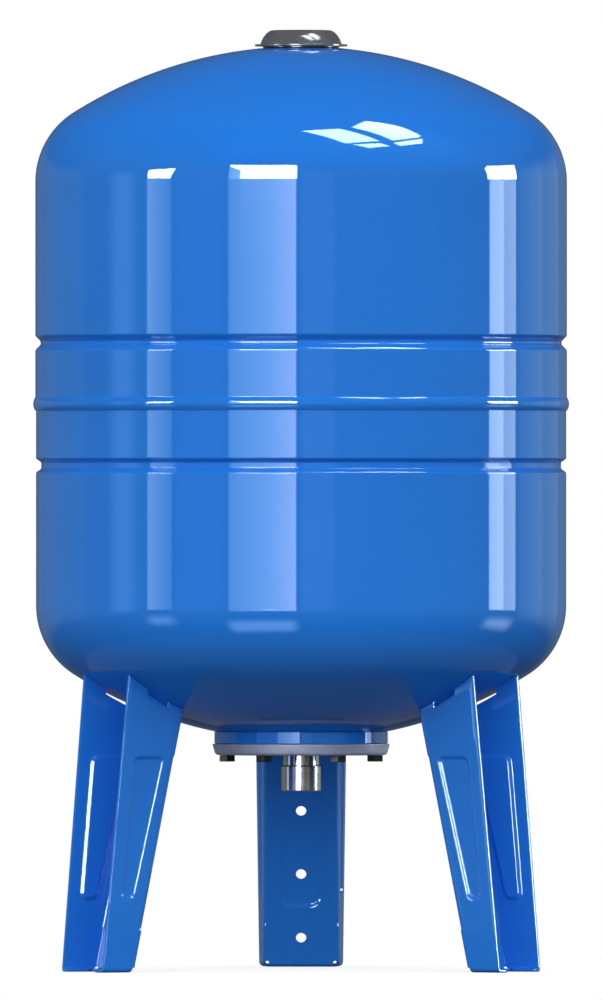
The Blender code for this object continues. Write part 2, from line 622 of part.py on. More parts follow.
def make_leg_sheet(paint):
    """Folded sheet before pressing: outer skin with a Solidify towards the channel's inside."""
    change = LEG_BEND_CHANGE / 2
    rows = [leg_section(foot_top(), LEG_BEND_RADIUS),
            leg_section(LEG_WIDE_BEND_FROM - change, LEG_BEND_RADIUS),
            leg_section(LEG_WIDE_BEND_FROM + change, LEG_WIDE_BEND_RADIUS),
            leg_section(LEG_WIDE_BEND_TO - change, LEG_WIDE_BEND_RADIUS),
            leg_section(LEG_WIDE_BEND_TO + change, LEG_BEND_RADIUS),
            leg_section(LOWER_TANGENT_HEIGHT, LEG_BEND_RADIUS)]
    bm = bmesh.new()
    grid = [[bm.verts.new(p) for p in row] for row in rows]
    for lower, upper in zip(grid, grid[1:]):
        for j in range(len(lower) - 1):
            bm.faces.new((lower[j], lower[j + 1], upper[j + 1], upper[j]))
    count = len(grid[0])
    mirrored_lip = [[(-x, y, z) for x, y, z in reversed(row)] for row in flange_lip()]
    strips = ((count // 2 - 1, web_lip()), (count - 2, flange_lip()), (0, mirrored_lip))
    for first, strip in strips:
        above = grid[0][first:first + 2]
        for pair in strip:
            below = [bm.verts.new(p) for p in pair]
            bm.faces.new((below[0], below[1], above[1], above[0]))
            above = below

    mesh = bpy.data.meshes.new("leg_sheet")
    bm.to_mesh(mesh)
    bm.free()
    mesh.materials.append(paint)
    sheet = bpy.data.objects.new("leg_sheet", mesh)
    bpy.context.scene.collection.objects.link(sheet)
    solidify = sheet.modifiers.new("sheet", "SOLIDIFY")
    solidify.thickness = LEG_SHEET
    solidify.offset = -1.0
    solidify.use_even_offset = True
    solidify.use_quality_normals = True
    return sheet


def corner_frames(corners):
    """Return each corner with its two edge directions, its inward bisector and half angle."""
    frames = []
    for index, corner in enumerate(corners):
        before = (corners[index - 1] - corner).normalized()
        after = (corners[(index + 1) % len(corners)] - corner).normalized()
        inward = (before + after).normalized()
        half = before.angle(after) / 2
        frames.append((corner, before, after, inward, half))
    return frames


def grown(corners, distance):
    """Return a convex outline's corners with every side moved out by a distance."""
    return [c - inward * (distance / math.sin(half))
            for c, _, _, inward, half in corner_frames(corners)]


def rounded(corners, radius):
    """Return a convex outline with its corners rounded."""
    points = []
    for corner, before, after, inward, half in corner_frames(corners):
        centre = corner + inward * (radius / math.sin(half))
        first = corner + before * (radius / math.tan(half)) - centre
        last = corner + after * (radius / math.tan(half)) - centre
        for k in range(CORNER_SEGMENTS + 1):
            share = k / CORNER_SEGMENTS
            spoke = (first * (1 - share) + last * share).normalized()
            points.append(centre + spoke * radius)
    return points


def add_frustum(bm, plane, corners, corner_radius, levels, mirrored):
    """Add a closed solid between two levels of a plane, its outline grown by each level's value.

    Each level is a pair: distance along the plane's normal, and how far the outline grows there.
    """
    loops = []
    for level, growth in levels:
        outline = rounded(grown(corners, growth), corner_radius + growth)
        points = [plane @ Vector((p.x, p.y, level)) for p in outline]
        if mirrored:
            points = [Vector((-p.x, p.y, p.z)) for p in points]
        loops.append([bm.verts.new(p) for p in points])
    low, high = loops
    bm.faces.new(low)
    bm.faces.new(high)
    count = len(low)
    for k in range(count):
        after = (k + 1) % count
        bm.faces.new((low[k], low[after], high[after], high[k]))


def plane_frame(origin, up, normal):
    """Return the matrix of a plane's frame: across, up and outward normal."""
    up = up.normalized()
    normal = normal.normalized()
    across = up.cross(normal)
    frame = Matrix((across, up, normal)).transposed().to_4x4()
    frame.translation = origin
    return frame


def web_plane():
    """Return the frame of the web's face, its normal towards the tank's axis."""
    up = Vector((0.0, -LEG_WEB_LEAN, 1.0))
    return plane_frame(Vector((0.0, LEG_WEB_FOOT_RADIUS, 0.0)), up, Vector((0.0, -1.0, -LEG_WEB_LEAN)))


def flange_plane():
    """Return the frame of the right flange's outer face."""
    up = Vector((0.0, -LEG_WEB_LEAN, 1.0))
    out = Vector((math.sin(LEG_SPLAY), math.cos(LEG_SPLAY), 0.0))
    return plane_frame(Vector((LEG_HALF_WIDTH, LEG_WEB_FOOT_RADIUS, 0.0)), up, out.cross(up))


def web_point(across, height):
    """Return a point of the web's face in the web plane's own two coordinates."""
    return Vector((across, height * math.hypot(1.0, LEG_WEB_LEAN)))


def flange_point(share, height):
    """Return a point at a share of the flange's width, in the flange plane's two coordinates."""
    web = LEG_WEB_FOOT_RADIUS - LEG_WEB_LEAN * height
    edge = LEG_EDGE_FOOT_RADIUS - LEG_EDGE_LEAN * height
    out = share * (edge - web)
    point = Vector((LEG_HALF_WIDTH + math.tan(LEG_SPLAY) * out, web + out, height))
    return (flange_plane().inverted() @ point).xy


def press_leg(sheet):
    """Press the web's and flanges' panels: a boss on the inner side and a pocket on the outer."""
    web_panel = [web_point(-WEB_PANEL_HALF_WIDTH, WEB_PANEL_BOTTOM),
                 web_point(WEB_PANEL_HALF_WIDTH, WEB_PANEL_BOTTOM),
                 web_point(WEB_PANEL_HALF_WIDTH, WEB_PANEL_TOP),
                 web_point(-WEB_PANEL_HALF_WIDTH, WEB_PANEL_TOP)]
    flange_panel = [flange_point(FLANGE_PANEL_BOTTOM_SHARES[0], FLANGE_PANEL_BOTTOM),
                    flange_point(FLANGE_PANEL_BOTTOM_SHARES[1], FLANGE_PANEL_BOTTOM),
                    flange_point(FLANGE_PANEL_TOP_SHARES[1], FLANGE_PANEL_TOP),
                    flange_point(FLANGE_PANEL_TOP_SHARES[0], FLANGE_PANEL_TOP)]
    bite = LEG_SHEET / 5
    wall_growth = LEG_SHEET * (math.sqrt(2.0) - 1.0)
    boss_levels = [(-LEG_SHEET + bite, wall_growth + bite),
                   (-LEG_SHEET - LEG_PRESS_DEPTH, wall_growth - LEG_PRESS_DEPTH)]
    pocket_levels = [(bite, bite), (-LEG_PRESS_DEPTH, -LEG_PRESS_DEPTH)]
    for name, levels, operation in (("leg_bosses", boss_levels, "UNION"),
                                    ("leg_pockets", pocket_levels, "DIFFERENCE")):
        bm = bmesh.new()
        add_frustum(bm, web_plane(), web_panel, WEB_PANEL_CORNER, levels, mirrored=False)
        for mirrored in (False, True):
            add_frustum(bm, flange_plane(), flange_panel, FLANGE_PANEL_CORNER, levels, mirrored)
        cut(sheet, new_object(name, bm, None), operation)


def drill_leg(sheet):
    """Cut the fixing holes and the round reliefs at the foot's corners, square to the web."""
    reach = 4 * (LEG_SHEET + LEG_PRESS_DEPTH)
    spots = [(LEG_HOLE_RADIUS, 0.0, LEG_HOLE_FIRST_HEIGHT + k * LEG_HOLE_PITCH, reach)
             for k in range(LEG_HOLE_COUNT)]
    spots += [(FOOT_RELIEF_RADIUS, side * FOOT_RELIEF_ACROSS, FOOT_RELIEF_HEIGHT,
               2 * FOOT_RELIEF_REACH) for side in (-1, 1)]
    bm = bmesh.new()
    for radius, across, height, depth in spots:
        place = web_plane() @ Matrix.Translation((*web_point(across, height), 0.0))
        bmesh.ops.create_cone(bm, cap_ends=True, segments=HOLE_SEGMENTS, radius1=radius,
                              radius2=radius, depth=depth, matrix=place)
    cut(sheet, new_object("leg_holes", bm, None))


def trim_leg(sheet):
    """Cut the leg's upper end to the dome, with the shallow notch in each flange's top edge."""
    outline = [(r, LOWER_TANGENT_HEIGHT - h) for r, h in
               head_profile(LOWER_SHELL_RADIUS, lower_crown_stations())]
    stepped = [(LOWER_SHELL_RADIUS + SEAT_GAP, LOWER_TANGENT_HEIGHT)]
    for radius, height in outline[1:]:
        level = height - SEAT_GAP
        notched = level - LEG_NOTCH_DEPTH
        if radius == LEG_NOTCH_OUTER_RADIUS:
            stepped += [(radius, level), (radius, notched)]
        elif radius == LEG_NOTCH_INNER_RADIUS:
            stepped += [(radius, notched), (radius, level)]
        else:
            stepped.append((radius, level))
    stepped.append((0.0, lower_dome_height(0.0) - SEAT_GAP))
    outer = [(0.0, SEAM_HEIGHT), (LOWER_SHELL_RADIUS + SEAT_GAP, SEAM_HEIGHT)]
    cut(sheet, turned("leg_trim", outer + stepped, BODY_SEGMENTS, None))


def make_legs(paint):
    """Make the leg once and set three copies of it round the axis, one of them at the rear."""
    sheet = make_leg_sheet(paint)
    press_leg(sheet)
    drill_leg(sheet)
    trim_leg(sheet)
    mesh = frozen(sheet, "leg")
    for name, turn in (("leg_rear", 0.0), ("leg_left_front", 120.0), ("leg_right_front", -120.0)):
        place_copy(name, mesh).rotation_euler.z = math.radians(turn)


def main():
    """Build every piece of the tank."""
    for item in list(bpy.data.objects):
        bpy.data.objects.remove(item)
    paint = finish("blue_paint", (0.020, 0.170, 0.665), 0.22, 0.0)
    zinc = finish("galvanised_steel", (0.32, 0.34, 0.42), 0.42, 0.8)
    steel = finish("bright_steel", (0.55, 0.54, 0.52), 0.22, 1.0)
    black_steel = finish("black_steel", (0.02, 0.02, 0.022), 0.4, 0.6)
    brass = finish("brass", (0.62, 0.46, 0.18), 0.3, 1.0)
    rubber = finish("black_rubber", (0.015, 0.015, 0.015), 0.7, 0.0)
    plastic = finish("dark_grey_plastic", (0.07, 0.07, 0.075), 0.3, 0.0)

    make_upper_shell(paint)
    make_lower_shell(paint)
    make_girth_weld(paint)
    make_neck_ring(paint)
    make_counter_flange(zinc)
    make_water_nipple(steel)
    make_flange_bolts(black_steel)
    make_bladder(rubber)
    make_air_valve(brass, rubber, plastic)
    make_valve_cover(plastic)
    make_legs(paint)


main()
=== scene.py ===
"""Visual model of a vertical well pressure tank on three pressed legs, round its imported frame.

Sizes in the classes are millimetres and become metres when a mesh is made. The tank's axis is Z,
the floor is at zero, and the rear leg stands on the +Y side. The camera looks along +Y.
"""

from __future__ import annotations

import logging
import math
from dataclasses import dataclass, field
from enum import Enum
from typing import Iterable, Sequence

import bpy
import numpy as np
from mathutils import Matrix


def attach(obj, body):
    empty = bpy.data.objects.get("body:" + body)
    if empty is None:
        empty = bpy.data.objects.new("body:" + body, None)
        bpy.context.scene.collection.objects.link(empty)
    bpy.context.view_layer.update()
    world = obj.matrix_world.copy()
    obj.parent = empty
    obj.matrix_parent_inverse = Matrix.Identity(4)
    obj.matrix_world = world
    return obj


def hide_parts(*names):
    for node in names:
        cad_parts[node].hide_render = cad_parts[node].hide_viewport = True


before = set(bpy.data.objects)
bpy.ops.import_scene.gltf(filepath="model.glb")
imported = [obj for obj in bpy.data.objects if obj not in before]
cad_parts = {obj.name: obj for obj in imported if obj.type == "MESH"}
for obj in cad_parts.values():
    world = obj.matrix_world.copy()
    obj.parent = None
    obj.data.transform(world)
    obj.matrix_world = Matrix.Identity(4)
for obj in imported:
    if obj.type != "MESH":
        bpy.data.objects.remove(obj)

Array = np.ndarray
Colour = tuple[float, float, float]
Socket = bpy.types.NodeSocket
NodeTree = bpy.types.NodeTree
Node = bpy.types.Node
Material = bpy.types.Material
Piece = bpy.types.Object

# Metres in a millimetre, and four distances in millimetres: the gap between pieces that touch,
# the reach of a point that keeps a straight side's shading straight, one beyond every form, and
# one that is nothing.
MM = 0.001
SEAT_GAP = 0.3
SHADING_GUARD = 0.15
FAR = 99.0
NOTHING = 1e-6
SHARP_ANGLE = 38.0
WHITE = (1.0, 1.0, 1.0, 1.0)
LOG = logging.getLogger("pressure_tank")
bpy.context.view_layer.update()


class Slot(Enum):
    """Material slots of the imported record."""

    BLUE_PAINT = "blue_paint"
    GALVANISED = "galvanised_steel"
    BRIGHT_STEEL = "bright_steel"
    BLACK_STEEL = "black_steel"
    BRASS = "brass"
    RUBBER = "black_rubber"
    PLASTIC = "dark_plastic"


# Meshes as whole arrays


@dataclass
class Patch:
    """A mesh as arrays.

    Attributes:
        points: Vertex positions in millimetres, one row each.
        quads: Vertex numbers of the faces with four corners.
        triangles: Vertex numbers of the faces with three corners.
    """

    points: Array
    quads: Array
    triangles: Array

    def volume(self) -> float:
        """Return the signed volume: a sixth of the sum of a . (b x c) over the triangles.

        Returns:
            The volume in cubic millimetres.
        """
        halves = [self.quads[:, [0, 1, 2]], self.quads[:, [0, 2, 3]], self.triangles]
        a, b, c = np.moveaxis(self.points[np.concatenate(halves)], 1, 0)
        return float(np.einsum("ij,ij->i", a, np.cross(b, c)).sum() / 6.0)

    def outward(self) -> Patch:
        """Return the patch with its faces turned so that the volume is positive.

        Returns:
            This patch, or one with every face turned.
        """
        if self.volume() >= 0.0:
            return self
        return Patch(self.points, self.quads[:, ::-1], self.triangles[:, ::-1])

    def compact(self) -> Patch:
        """Return the patch without the points that no face uses.

        Returns:
            The patch with its faces renumbered.
        """
        used, numbers = np.unique(np.concatenate([self.quads.ravel(), self.triangles.ravel()]),
                                  return_inverse=True)
        split = self.quads.size
        return Patch(self.points[used], numbers[:split].reshape(-1, 4),
                     numbers[split:].reshape(-1, 3))

    def moved(self, x: float, y: float) -> Patch:
        """Return the patch moved level by x and y."""
        return Patch(self.points + np.array([x, y, 0.0]), self.quads, self.triangles)


def joined(patches: Sequence[Patch]) -> Patch:
    """Join patches into one.

    Args:
        patches: The patches to put side by side.

    Returns:
        One patch with all the points and faces.
    """
    shifts = np.cumsum([0] + [len(p.points) for p in patches[:-1]])
    return Patch(np.concatenate([p.points for p in patches]),
                 np.concatenate([p.quads + s for p, s in zip(patches, shifts)]),
                 np.concatenate([p.triangles + s for p, s in zip(patches, shifts)]))


def grid_quads(rows: int, columns: int, wrap_rows: bool, wrap_columns: bool) -> Array:
    """Number the quads of a grid of points kept row by row.

    Args:
        rows: Rows of points.
        columns: Points in a row.
        wrap_rows: Whether the last row joins the first.
        wrap_columns: Whether each row closes on itself.

    Returns:
        Four point numbers for each quad.
    """
    i, j = np.meshgrid(np.arange(rows if wrap_rows else rows - 1),
                       np.arange(columns if wrap_columns else columns - 1), indexing="ij")
    below, above = i * columns, (i + 1) % rows * columns
    after = (j + 1) % columns
    return np.stack([below + j, below + after, above + after, above + j], -1).reshape(-1, 4)


def revolved(profile: Array, segments: int, closed: bool) -> Patch:
    """Turn a profile about Z: point (i, a) is (r_i cos a, r_i sin a, z_i).

    Args:
        profile: Radius and height of each point. An end on the axis closes to a pole.
        segments: Points round the axis.
        closed: Whether the last point joins the first, as in a ring's section.

    Returns:
        The surface, its poles closed with triangles.
    """
    angles = np.arange(segments) * (2.0 * np.pi / segments)
    ring = np.stack([np.cos(angles), np.sin(angles)], -1)
    level = profile[:, :1, None] * ring
    height = np.broadcast_to(profile[:, 1, None, None], (len(profile), segments, 1))
    points = np.concatenate([level, height], -1).reshape(-1, 3)
    quads = grid_quads(len(profile), segments, closed, True)
    pole = np.repeat(profile[:, 0] < NOTHING, segments)
    first = np.arange(len(points)) // segments * segments
    quads = np.where(pole[quads], first[quads], quads)
    low, high = quads[:, 0] == quads[:, 1], quads[:, 2] == quads[:, 3]
    triangles = np.concatenate([quads[low][:, [0, 2, 3]], quads[high][:, [0, 1, 2]]])
    return Patch(points, quads[~(low | high)], triangles).compact()


def arc(centre: tuple[float, float], radius: float, start: float, end: float,
        count: int) -> Array:
    """Return points centre + radius (cos a, sin a) for count angles from start to end."""
    a = np.linspace(start, end, count)
    return np.stack([centre[0] + radius * np.cos(a), centre[1] + radius * np.sin(a)], -1)


def filleted(corners: Sequence[tuple[float, float, float]], count: int, closed: bool) -> Array:
    """Round a polyline's corners with arcs.

    At a corner with half angle h between its sides, the arc of radius r starts r / tan h along
    each side, and its spokes turn evenly from the first side's tangent point to the second's.
    A point close beyond each end of an arc keeps the shading of the straight side straight.

    Args:
        corners: Radius, height and fillet radius of each corner.
        count: Points in each arc.
        closed: Whether the polyline closes on itself.

    Returns:
        The outline's points, without doubles.
    """
    table = np.array(corners, float)
    place, radius = table[:, :2], table[:, 2:]
    before = np.roll(place, 1, 0) - place
    after = np.roll(place, -1, 0) - place
    before /= np.linalg.norm(before, axis=1, keepdims=True)
    after /= np.linalg.norm(after, axis=1, keepdims=True)
    half = np.arccos(np.clip(np.sum(before * after, 1, keepdims=True), -1.0, 1.0)) / 2.0
    if not closed:
        radius[[0, -1]] = 0.0
    reach = radius / np.tan(half)
    inward = before + after
    inward /= np.maximum(np.linalg.norm(inward, axis=1, keepdims=True), 1e-9)
    centre = place + inward * radius / np.sin(half)
    first, last = place + before * reach - centre, place + after * reach - centre
    sweep = np.maximum(np.pi - 2.0 * half, NOTHING)[:, None]
    share = np.linspace(0.0, 1.0, count)[None, :, None]
    spokes = (first[:, None] * np.sin((1.0 - share) * sweep)
              + last[:, None] * np.sin(share * sweep)) / np.sin(sweep)
    side = np.linalg.norm(np.roll(centre + first, -1, 0) - centre - last, axis=1, keepdims=True)
    guard = np.minimum(SHADING_GUARD, side / 4.0)
    if not closed:
        guard[-1] = 0.0
    guards = [(centre + first + before * np.roll(guard, 1, 0))[:, None],
              (centre + last + after * guard)[:, None]]
    points = np.concatenate([guards[0], centre[:, None] + spokes, guards[1]], 1).reshape(-1, 2)
    keep = np.linalg.norm(points - np.roll(points, 1, 0), axis=1) > 10.0 * NOTHING
    keep[0] = keep[0] or not closed
    return points[keep]


def offset(outline: Array, distance: float) -> Array:
    """Return an outline moved to its left: point + distance times the left unit normal.

    Args:
        outline: Radius and height of each point.
        distance: How far to move it.

    Returns:
        The moved outline.
    """
    along = np.gradient(outline, axis=0)
    along /= np.linalg.norm(along, axis=1, keepdims=True)
    return outline + distance * np.stack([-along[:, 1], along[:, 0]], -1)


def eased(values: Array, start: float, end: float) -> Array:
    """Return half a cosine wave that rises from 0 at start to 1 at end."""
    share = np.clip((values - start) / (end - start), 0.0, 1.0)
    return (1.0 - np.cos(np.pi * share)) / 2.0


def placed(name: str, data: bpy.types.ID) -> Piece:
    """Make an object and link it to the scene.

    Args:
        name: The object's name.
        data: Its mesh or camera.

    Returns:
        The new object.
    """
    made = bpy.data.objects.new(name, data)
    bpy.context.scene.collection.objects.link(made)
    return made


def mesh_object(name: str, patch: Patch, material: Material,
                sharp: float = SHARP_ANGLE) -> Piece:
    """Make an object from a patch, in metres and at the origin.

    Args:
        name: The piece's name.
        patch: Its surface in millimetres.
        material: Its finish.
        sharp: Angle in degrees above which an edge is shaded sharp.

    Returns:
        The new object, linked to the scene.
    """
    patch = patch.outward()
    mesh = bpy.data.meshes.new(name)
    corners = np.concatenate([patch.quads.ravel(), patch.triangles.ravel()])
    starts = np.concatenate([np.arange(len(patch.quads)) * 4,
                             patch.quads.size + np.arange(len(patch.triangles)) * 3])
    mesh.vertices.add(len(patch.points))
    mesh.vertices.foreach_set("co", (patch.points * MM).astype(np.float32).ravel())
    mesh.loops.add(len(corners))
    mesh.loops.foreach_set("vertex_index", corners.astype(np.int32))
    mesh.polygons.add(len(starts))
    mesh.polygons.foreach_set("loop_start", starts.astype(np.int32))
    mesh.update(calc_edges=True)
    mesh.validate()
    mesh.shade_smooth()
    mesh.set_sharp_from_angle(angle=math.radians(sharp))
    mesh.materials.append(material)
    return placed(name, mesh)


def seat(piece: Piece, nodes: Iterable[str]) -> Piece:
    """Let a piece ride on the tank in place of its solids.

    Args:
        piece: The finished piece.
        nodes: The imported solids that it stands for.

    Returns:
        The same piece.
    """
    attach(piece, "root")
    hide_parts(*nodes)
    LOG.info("%s: %d faces", piece.name, len(piece.data.polygons))
    return piece


def drilled(piece: Piece, tools: Patch) -> None:
    """Cut a patch of closed rods out of a piece and keep the result in its mesh.

    Args:
        piece: The piece to drill.
        tools: A closed rod for each hole.
    """
    cutter = mesh_object("drill", tools, piece.data.materials[0])
    modifier = piece.modifiers.new("holes", "BOOLEAN")
    modifier.operation = "DIFFERENCE"
    modifier.solver = "EXACT"
    modifier.object = cutter
    settle(piece)
    bpy.data.meshes.remove(cutter.data)


def settle(piece: Piece) -> None:
    """Put the result of a piece's modifiers into its mesh and drop the modifiers.

    Args:
        piece: The piece with the modifiers.
    """
    graph = bpy.context.evaluated_depsgraph_get()
    graph.update()
    made = bpy.data.meshes.new_from_object(piece.evaluated_get(graph))
    old = piece.data
    piece.modifiers.clear()
    piece.data = made
    bpy.data.meshes.remove(old)
    made.name = piece.name


# Materials


class Graph:
    """Adds nodes to a tree; each input is a socket to link or a value to set."""

    def __init__(self, tree: NodeTree) -> None:
        """Keep the tree.

        Args:
            tree: The node tree to add to.
        """
        self.tree = tree

    def node(self, kind: str, inputs: dict | None = None, **settings: object) -> Node:
        """Add a node.

        Args:
            kind: Blender's full type name of the node.
            inputs: A socket or value for each input, by name or number.
            settings: Values of the node's own properties.

        Returns:
            The new node.
        """
        made = self.tree.nodes.new(kind)
        for key, value in settings.items():
            setattr(made, key, value)
        for key, value in (inputs or {}).items():
            self.feed(made.inputs[key], value)
        return made

    def feed(self, socket: Socket, value: object) -> None:
        """Link an input to a socket, or set it to a plain value.

        Args:
            socket: The input.
            value: What it takes.
        """
        if isinstance(value, Socket):
            self.tree.links.new(value, socket)
        else:
            socket.default_value = value

    def math(self, operation: str, *values: object, clamp: bool = False) -> Socket:
        """Return the result of a Math node over the values."""
        return self.node("ShaderNodeMath", dict(enumerate(values)), operation=operation,
                         use_clamp=clamp).outputs[0]

    def ramp(self, value: object, start: float, end: float,
             low: float = 0.0, high: float = 1.0) -> Socket:
        """Return the value mapped smoothly from start..end to low..high."""
        return self.node("ShaderNodeMapRange", {0: value, 1: start, 2: end, 3: low, 4: high},
                         interpolation_type="SMOOTHSTEP").outputs[0]

    def mix(self, factor: object, first: object, second: object) -> Socket:
        """Return a colour between two colours.

        Args:
            factor: Share of the second colour.
            first: The colour at nought.
            second: The colour at one.

        Returns:
            The mixed colour.
        """
        made = self.node("ShaderNodeMix", {0: factor}, data_type="RGBA")
        for socket, value in zip(made.inputs[6:8], (first, second)):
            self.feed(socket, value if isinstance(value, Socket) else (*value, 1.0))
        return made.outputs[2]

    def noise(self, place: Socket, scale: object, **settings: float) -> Socket:
        """Return a noise's level at a place."""
        return self.node("ShaderNodeTexNoise",
                         {"Vector": place, "Scale": scale, **settings}).outputs[0]

    def place(self) -> Socket:
        """Return the object coordinates."""
        return self.node("ShaderNodeTexCoord").outputs["Object"]

    def group(self, tree: NodeTree, **values: object) -> Node:
        """Add a node group with its own values.

        Args:
            tree: The group.
            values: A value for each input.

        Returns:
            The new node.
        """
        made = self.node("ShaderNodeGroup", node_tree=tree)
        for key, value in values.items():
            self.feed(made.inputs[key], value)
        return made

    def effect(self, tree: NodeTree, place: Socket,
               **values: float) -> Socket:
        """Return the mask or height that an effect's group puts out at a place."""
        return self.group(tree, Vector=place, **values).outputs[0]


def new_group(name: str, inputs: dict[str, float], outputs: Sequence[str]) -> tuple[
        NodeTree, Graph, bpy.types.bpy_prop_collection, Node]:
    """Start a shader node group that reads object coordinates.

    Args:
        name: The group's name.
        inputs: Its value inputs and their usual values.
        outputs: Its value outputs.

    Returns:
        The tree, its graph, its inputs' sockets and its output node.
    """
    tree = bpy.data.node_groups.new(name, "ShaderNodeTree")
    tree.interface.new_socket("Vector", in_out="INPUT", socket_type="NodeSocketVector")
    for key, value in inputs.items():
        socket = tree.interface.new_socket(key, in_out="INPUT", socket_type="NodeSocketFloat")
        socket.default_value = value
    for key in outputs:
        tree.interface.new_socket(key, in_out="OUTPUT", socket_type="NodeSocketFloat")
    graph = Graph(tree)
    return tree, graph, graph.node("NodeGroupInput").outputs, graph.node("NodeGroupOutput")


@dataclass
class Effects:
    """Shader node groups that several finishes use.

    Attributes:
        blotch_rise: Noise levels where a blotch starts and is full.
        streak_width: Half a scuff's width, in noise levels.
        streak_breaks: Noise levels where a scuff starts and is full.
        dust_breaks: Noise levels where dust starts and is full.
    """

    fine_ratio: float = 4.7
    blotch_rise: tuple[float, float] = (0.25, 0.75)
    streak_turn: tuple[float, float, float] = (0.4, 0.9, 0.3)
    streak_stretch: tuple[float, float, float] = (1.0, 9.0, 1.6)
    streak_width: float = 0.012
    streak_breaks: tuple[float, float] = (0.55, 0.7)
    dust_scale: float = 260.0
    dust_breaks: tuple[float, float] = (0.35, 0.7)
    ripple: NodeTree = field(init=False)
    blotches: NodeTree = field(init=False)
    scuffs: NodeTree = field(init=False)
    dust: NodeTree = field(init=False)

    def __post_init__(self) -> None:
        """Build the groups."""
        self.ripple = self._ripple()
        self.blotches = self._blotches()
        self.scuffs = self._scuffs()
        self.dust = self._dust()

    def _ripple(self) -> NodeTree:
        """Return the skin of a sprayed or moulded surface: two sizes of soft waves, as height.

        Returns:
            The group.
        """
        tree, graph, source, sink = new_group("skin_ripple", {"Scale": 300.0, "Fine": 0.3},
                                              ["Height"])
        waves = graph.noise(source["Vector"], source["Scale"], Detail=1.0)
        small = graph.math("MULTIPLY", source["Scale"], self.fine_ratio)
        fine = graph.noise(source["Vector"], small, Detail=2.0)
        height = graph.math("MULTIPLY_ADD", fine, source["Fine"], waves)
        graph.feed(sink.inputs["Height"], height)
        return tree

    def _blotches(self) -> NodeTree:
        """Return broad soft patches, from 0 to 1, with most of the surface near the middle.

        Returns:
            The group.
        """
        tree, graph, source, sink = new_group("blotches", {"Scale": 12.0}, ["Mask"])
        noise = graph.noise(source["Vector"], source["Scale"], Detail=4.0, Roughness=0.55)
        graph.feed(sink.inputs["Mask"], graph.ramp(noise, *self.blotch_rise))
        return tree

    def _scuffs(self) -> NodeTree:
        """Return thin handling marks: the crests of a stretched noise, broken by a second one.

        Returns:
            The group.
        """
        tree, graph, source, sink = new_group("handling_scuffs", {"Scale": 40.0, "Amount": 0.5},
                                              ["Mask"])
        bent = graph.node("ShaderNodeMapping", {"Vector": source["Vector"],
                                                "Rotation": self.streak_turn,
                                                "Scale": self.streak_stretch}).outputs[0]
        streak = graph.noise(bent, source["Scale"], Detail=3.0, Distortion=0.6)
        crest = graph.ramp(graph.math("ABSOLUTE", graph.math("SUBTRACT", streak, 0.5)),
                           0.0, self.streak_width, 1.0, 0.0)
        breaks = graph.noise(source["Vector"], source["Scale"])
        shown = graph.math("MULTIPLY", crest, graph.ramp(breaks, *self.streak_breaks))
        graph.feed(sink.inputs["Mask"], graph.math("MULTIPLY", shown, source["Amount"]))
        return tree

    def _dust(self) -> NodeTree:
        """Return a film of dust that thins out upwards from a level, uneven by a noise.

        Returns:
            The group.
        """
        tree, graph, source, sink = new_group("floor_dust", {"Top": 0.06, "Amount": 0.3},
                                              ["Mask"])
        height = graph.node("ShaderNodeSeparateXYZ", {0: source["Vector"]}).outputs["Z"]
        fade = graph.math("SUBTRACT", 1.0, graph.math("DIVIDE", height, source["Top"]),
                          clamp=True)
        noise = graph.noise(source["Vector"], self.dust_scale, Detail=5.0)
        film = graph.math("MULTIPLY", fade, graph.ramp(noise, *self.dust_breaks))
        graph.feed(sink.inputs["Mask"], graph.math("MULTIPLY", film, source["Amount"]))
        return tree


def new_material(name: str) -> tuple[Material, Graph, Node]:
    """Start a material.

    Args:
        name: The material's name.

    Returns:
        The material, its graph and its shader node.
    """
    material = bpy.data.materials.new(name)
    material.use_nodes = True
    return material, Graph(material.node_tree), material.node_tree.nodes["Principled BSDF"]


def dress(graph: Graph, shader: Node, colour: Socket,
          rough: Socket, height: Socket, depth: float) -> None:
    """Feed a shader its colour, its roughness and a bump of its skin.

    Args:
        graph: The material's graph.
        shader: The material's shader node.
        colour: The base colour over the surface.
        rough: The roughness over the surface.
        height: The skin's height, in shares of the depth.
        depth: The skin's depth in metres.
    """
    bump = graph.node("ShaderNodeBump", {"Height": height, "Distance": depth}).outputs[0]
    for name, socket in (("Base Color", colour), ("Roughness", rough), ("Normal", bump)):
        graph.feed(shader.inputs[name], socket)


@dataclass(frozen=True)
class BluePaint:
    """Glossy blue enamel sprayed over steel, with a faint orange peel."""

    name: str = "blue_enamel"
    colour: Colour = (0.0155, 0.174, 0.650)
    worn: Colour = (0.0175, 0.181, 0.675)
    gloss: Colour = (0.62, 0.80, 1.0)
    roughness: float = 0.02
    patch_scale: float = 9.0
    peel: float = 0.0000009
    peel_scale: float = 170.0
    peel_fine: float = 0.08
    dust: float = 0.02
    dust_top: float = 0.05
    dust_colour: Colour = (0.35, 0.36, 0.36)
    dust_dulling: float = 0.5
    scuffs: float = 0.05
    scuff_scale: float = 22.0

    def build(self, effects: Effects) -> Material:
        """Return the material: blotched enamel, wavy skin, a trace of dust near the floor.

        Args:
            effects: The shared node groups.

        Returns:
            The material.
        """
        material, graph, shader = new_material(self.name)
        place = graph.place()
        patches = graph.effect(effects.blotches, place, Scale=self.patch_scale)
        enamel = graph.mix(patches, self.colour, self.worn)
        film = graph.effect(effects.dust, place, Top=self.dust_top, Amount=self.dust)
        colour = graph.mix(film, enamel, self.dust_colour)
        marks = graph.effect(effects.scuffs, place, Scale=self.scuff_scale, Amount=self.scuffs)
        dulled = graph.math("MULTIPLY_ADD", film, self.dust_dulling, self.roughness)
        height = graph.effect(effects.ripple, place, Scale=self.peel_scale, Fine=self.peel_fine)
        dress(graph, shader, colour, graph.math("ADD", dulled, marks), height, self.peel)
        shader.inputs["Specular Tint"].default_value = (*self.gloss, 1.0)
        return material


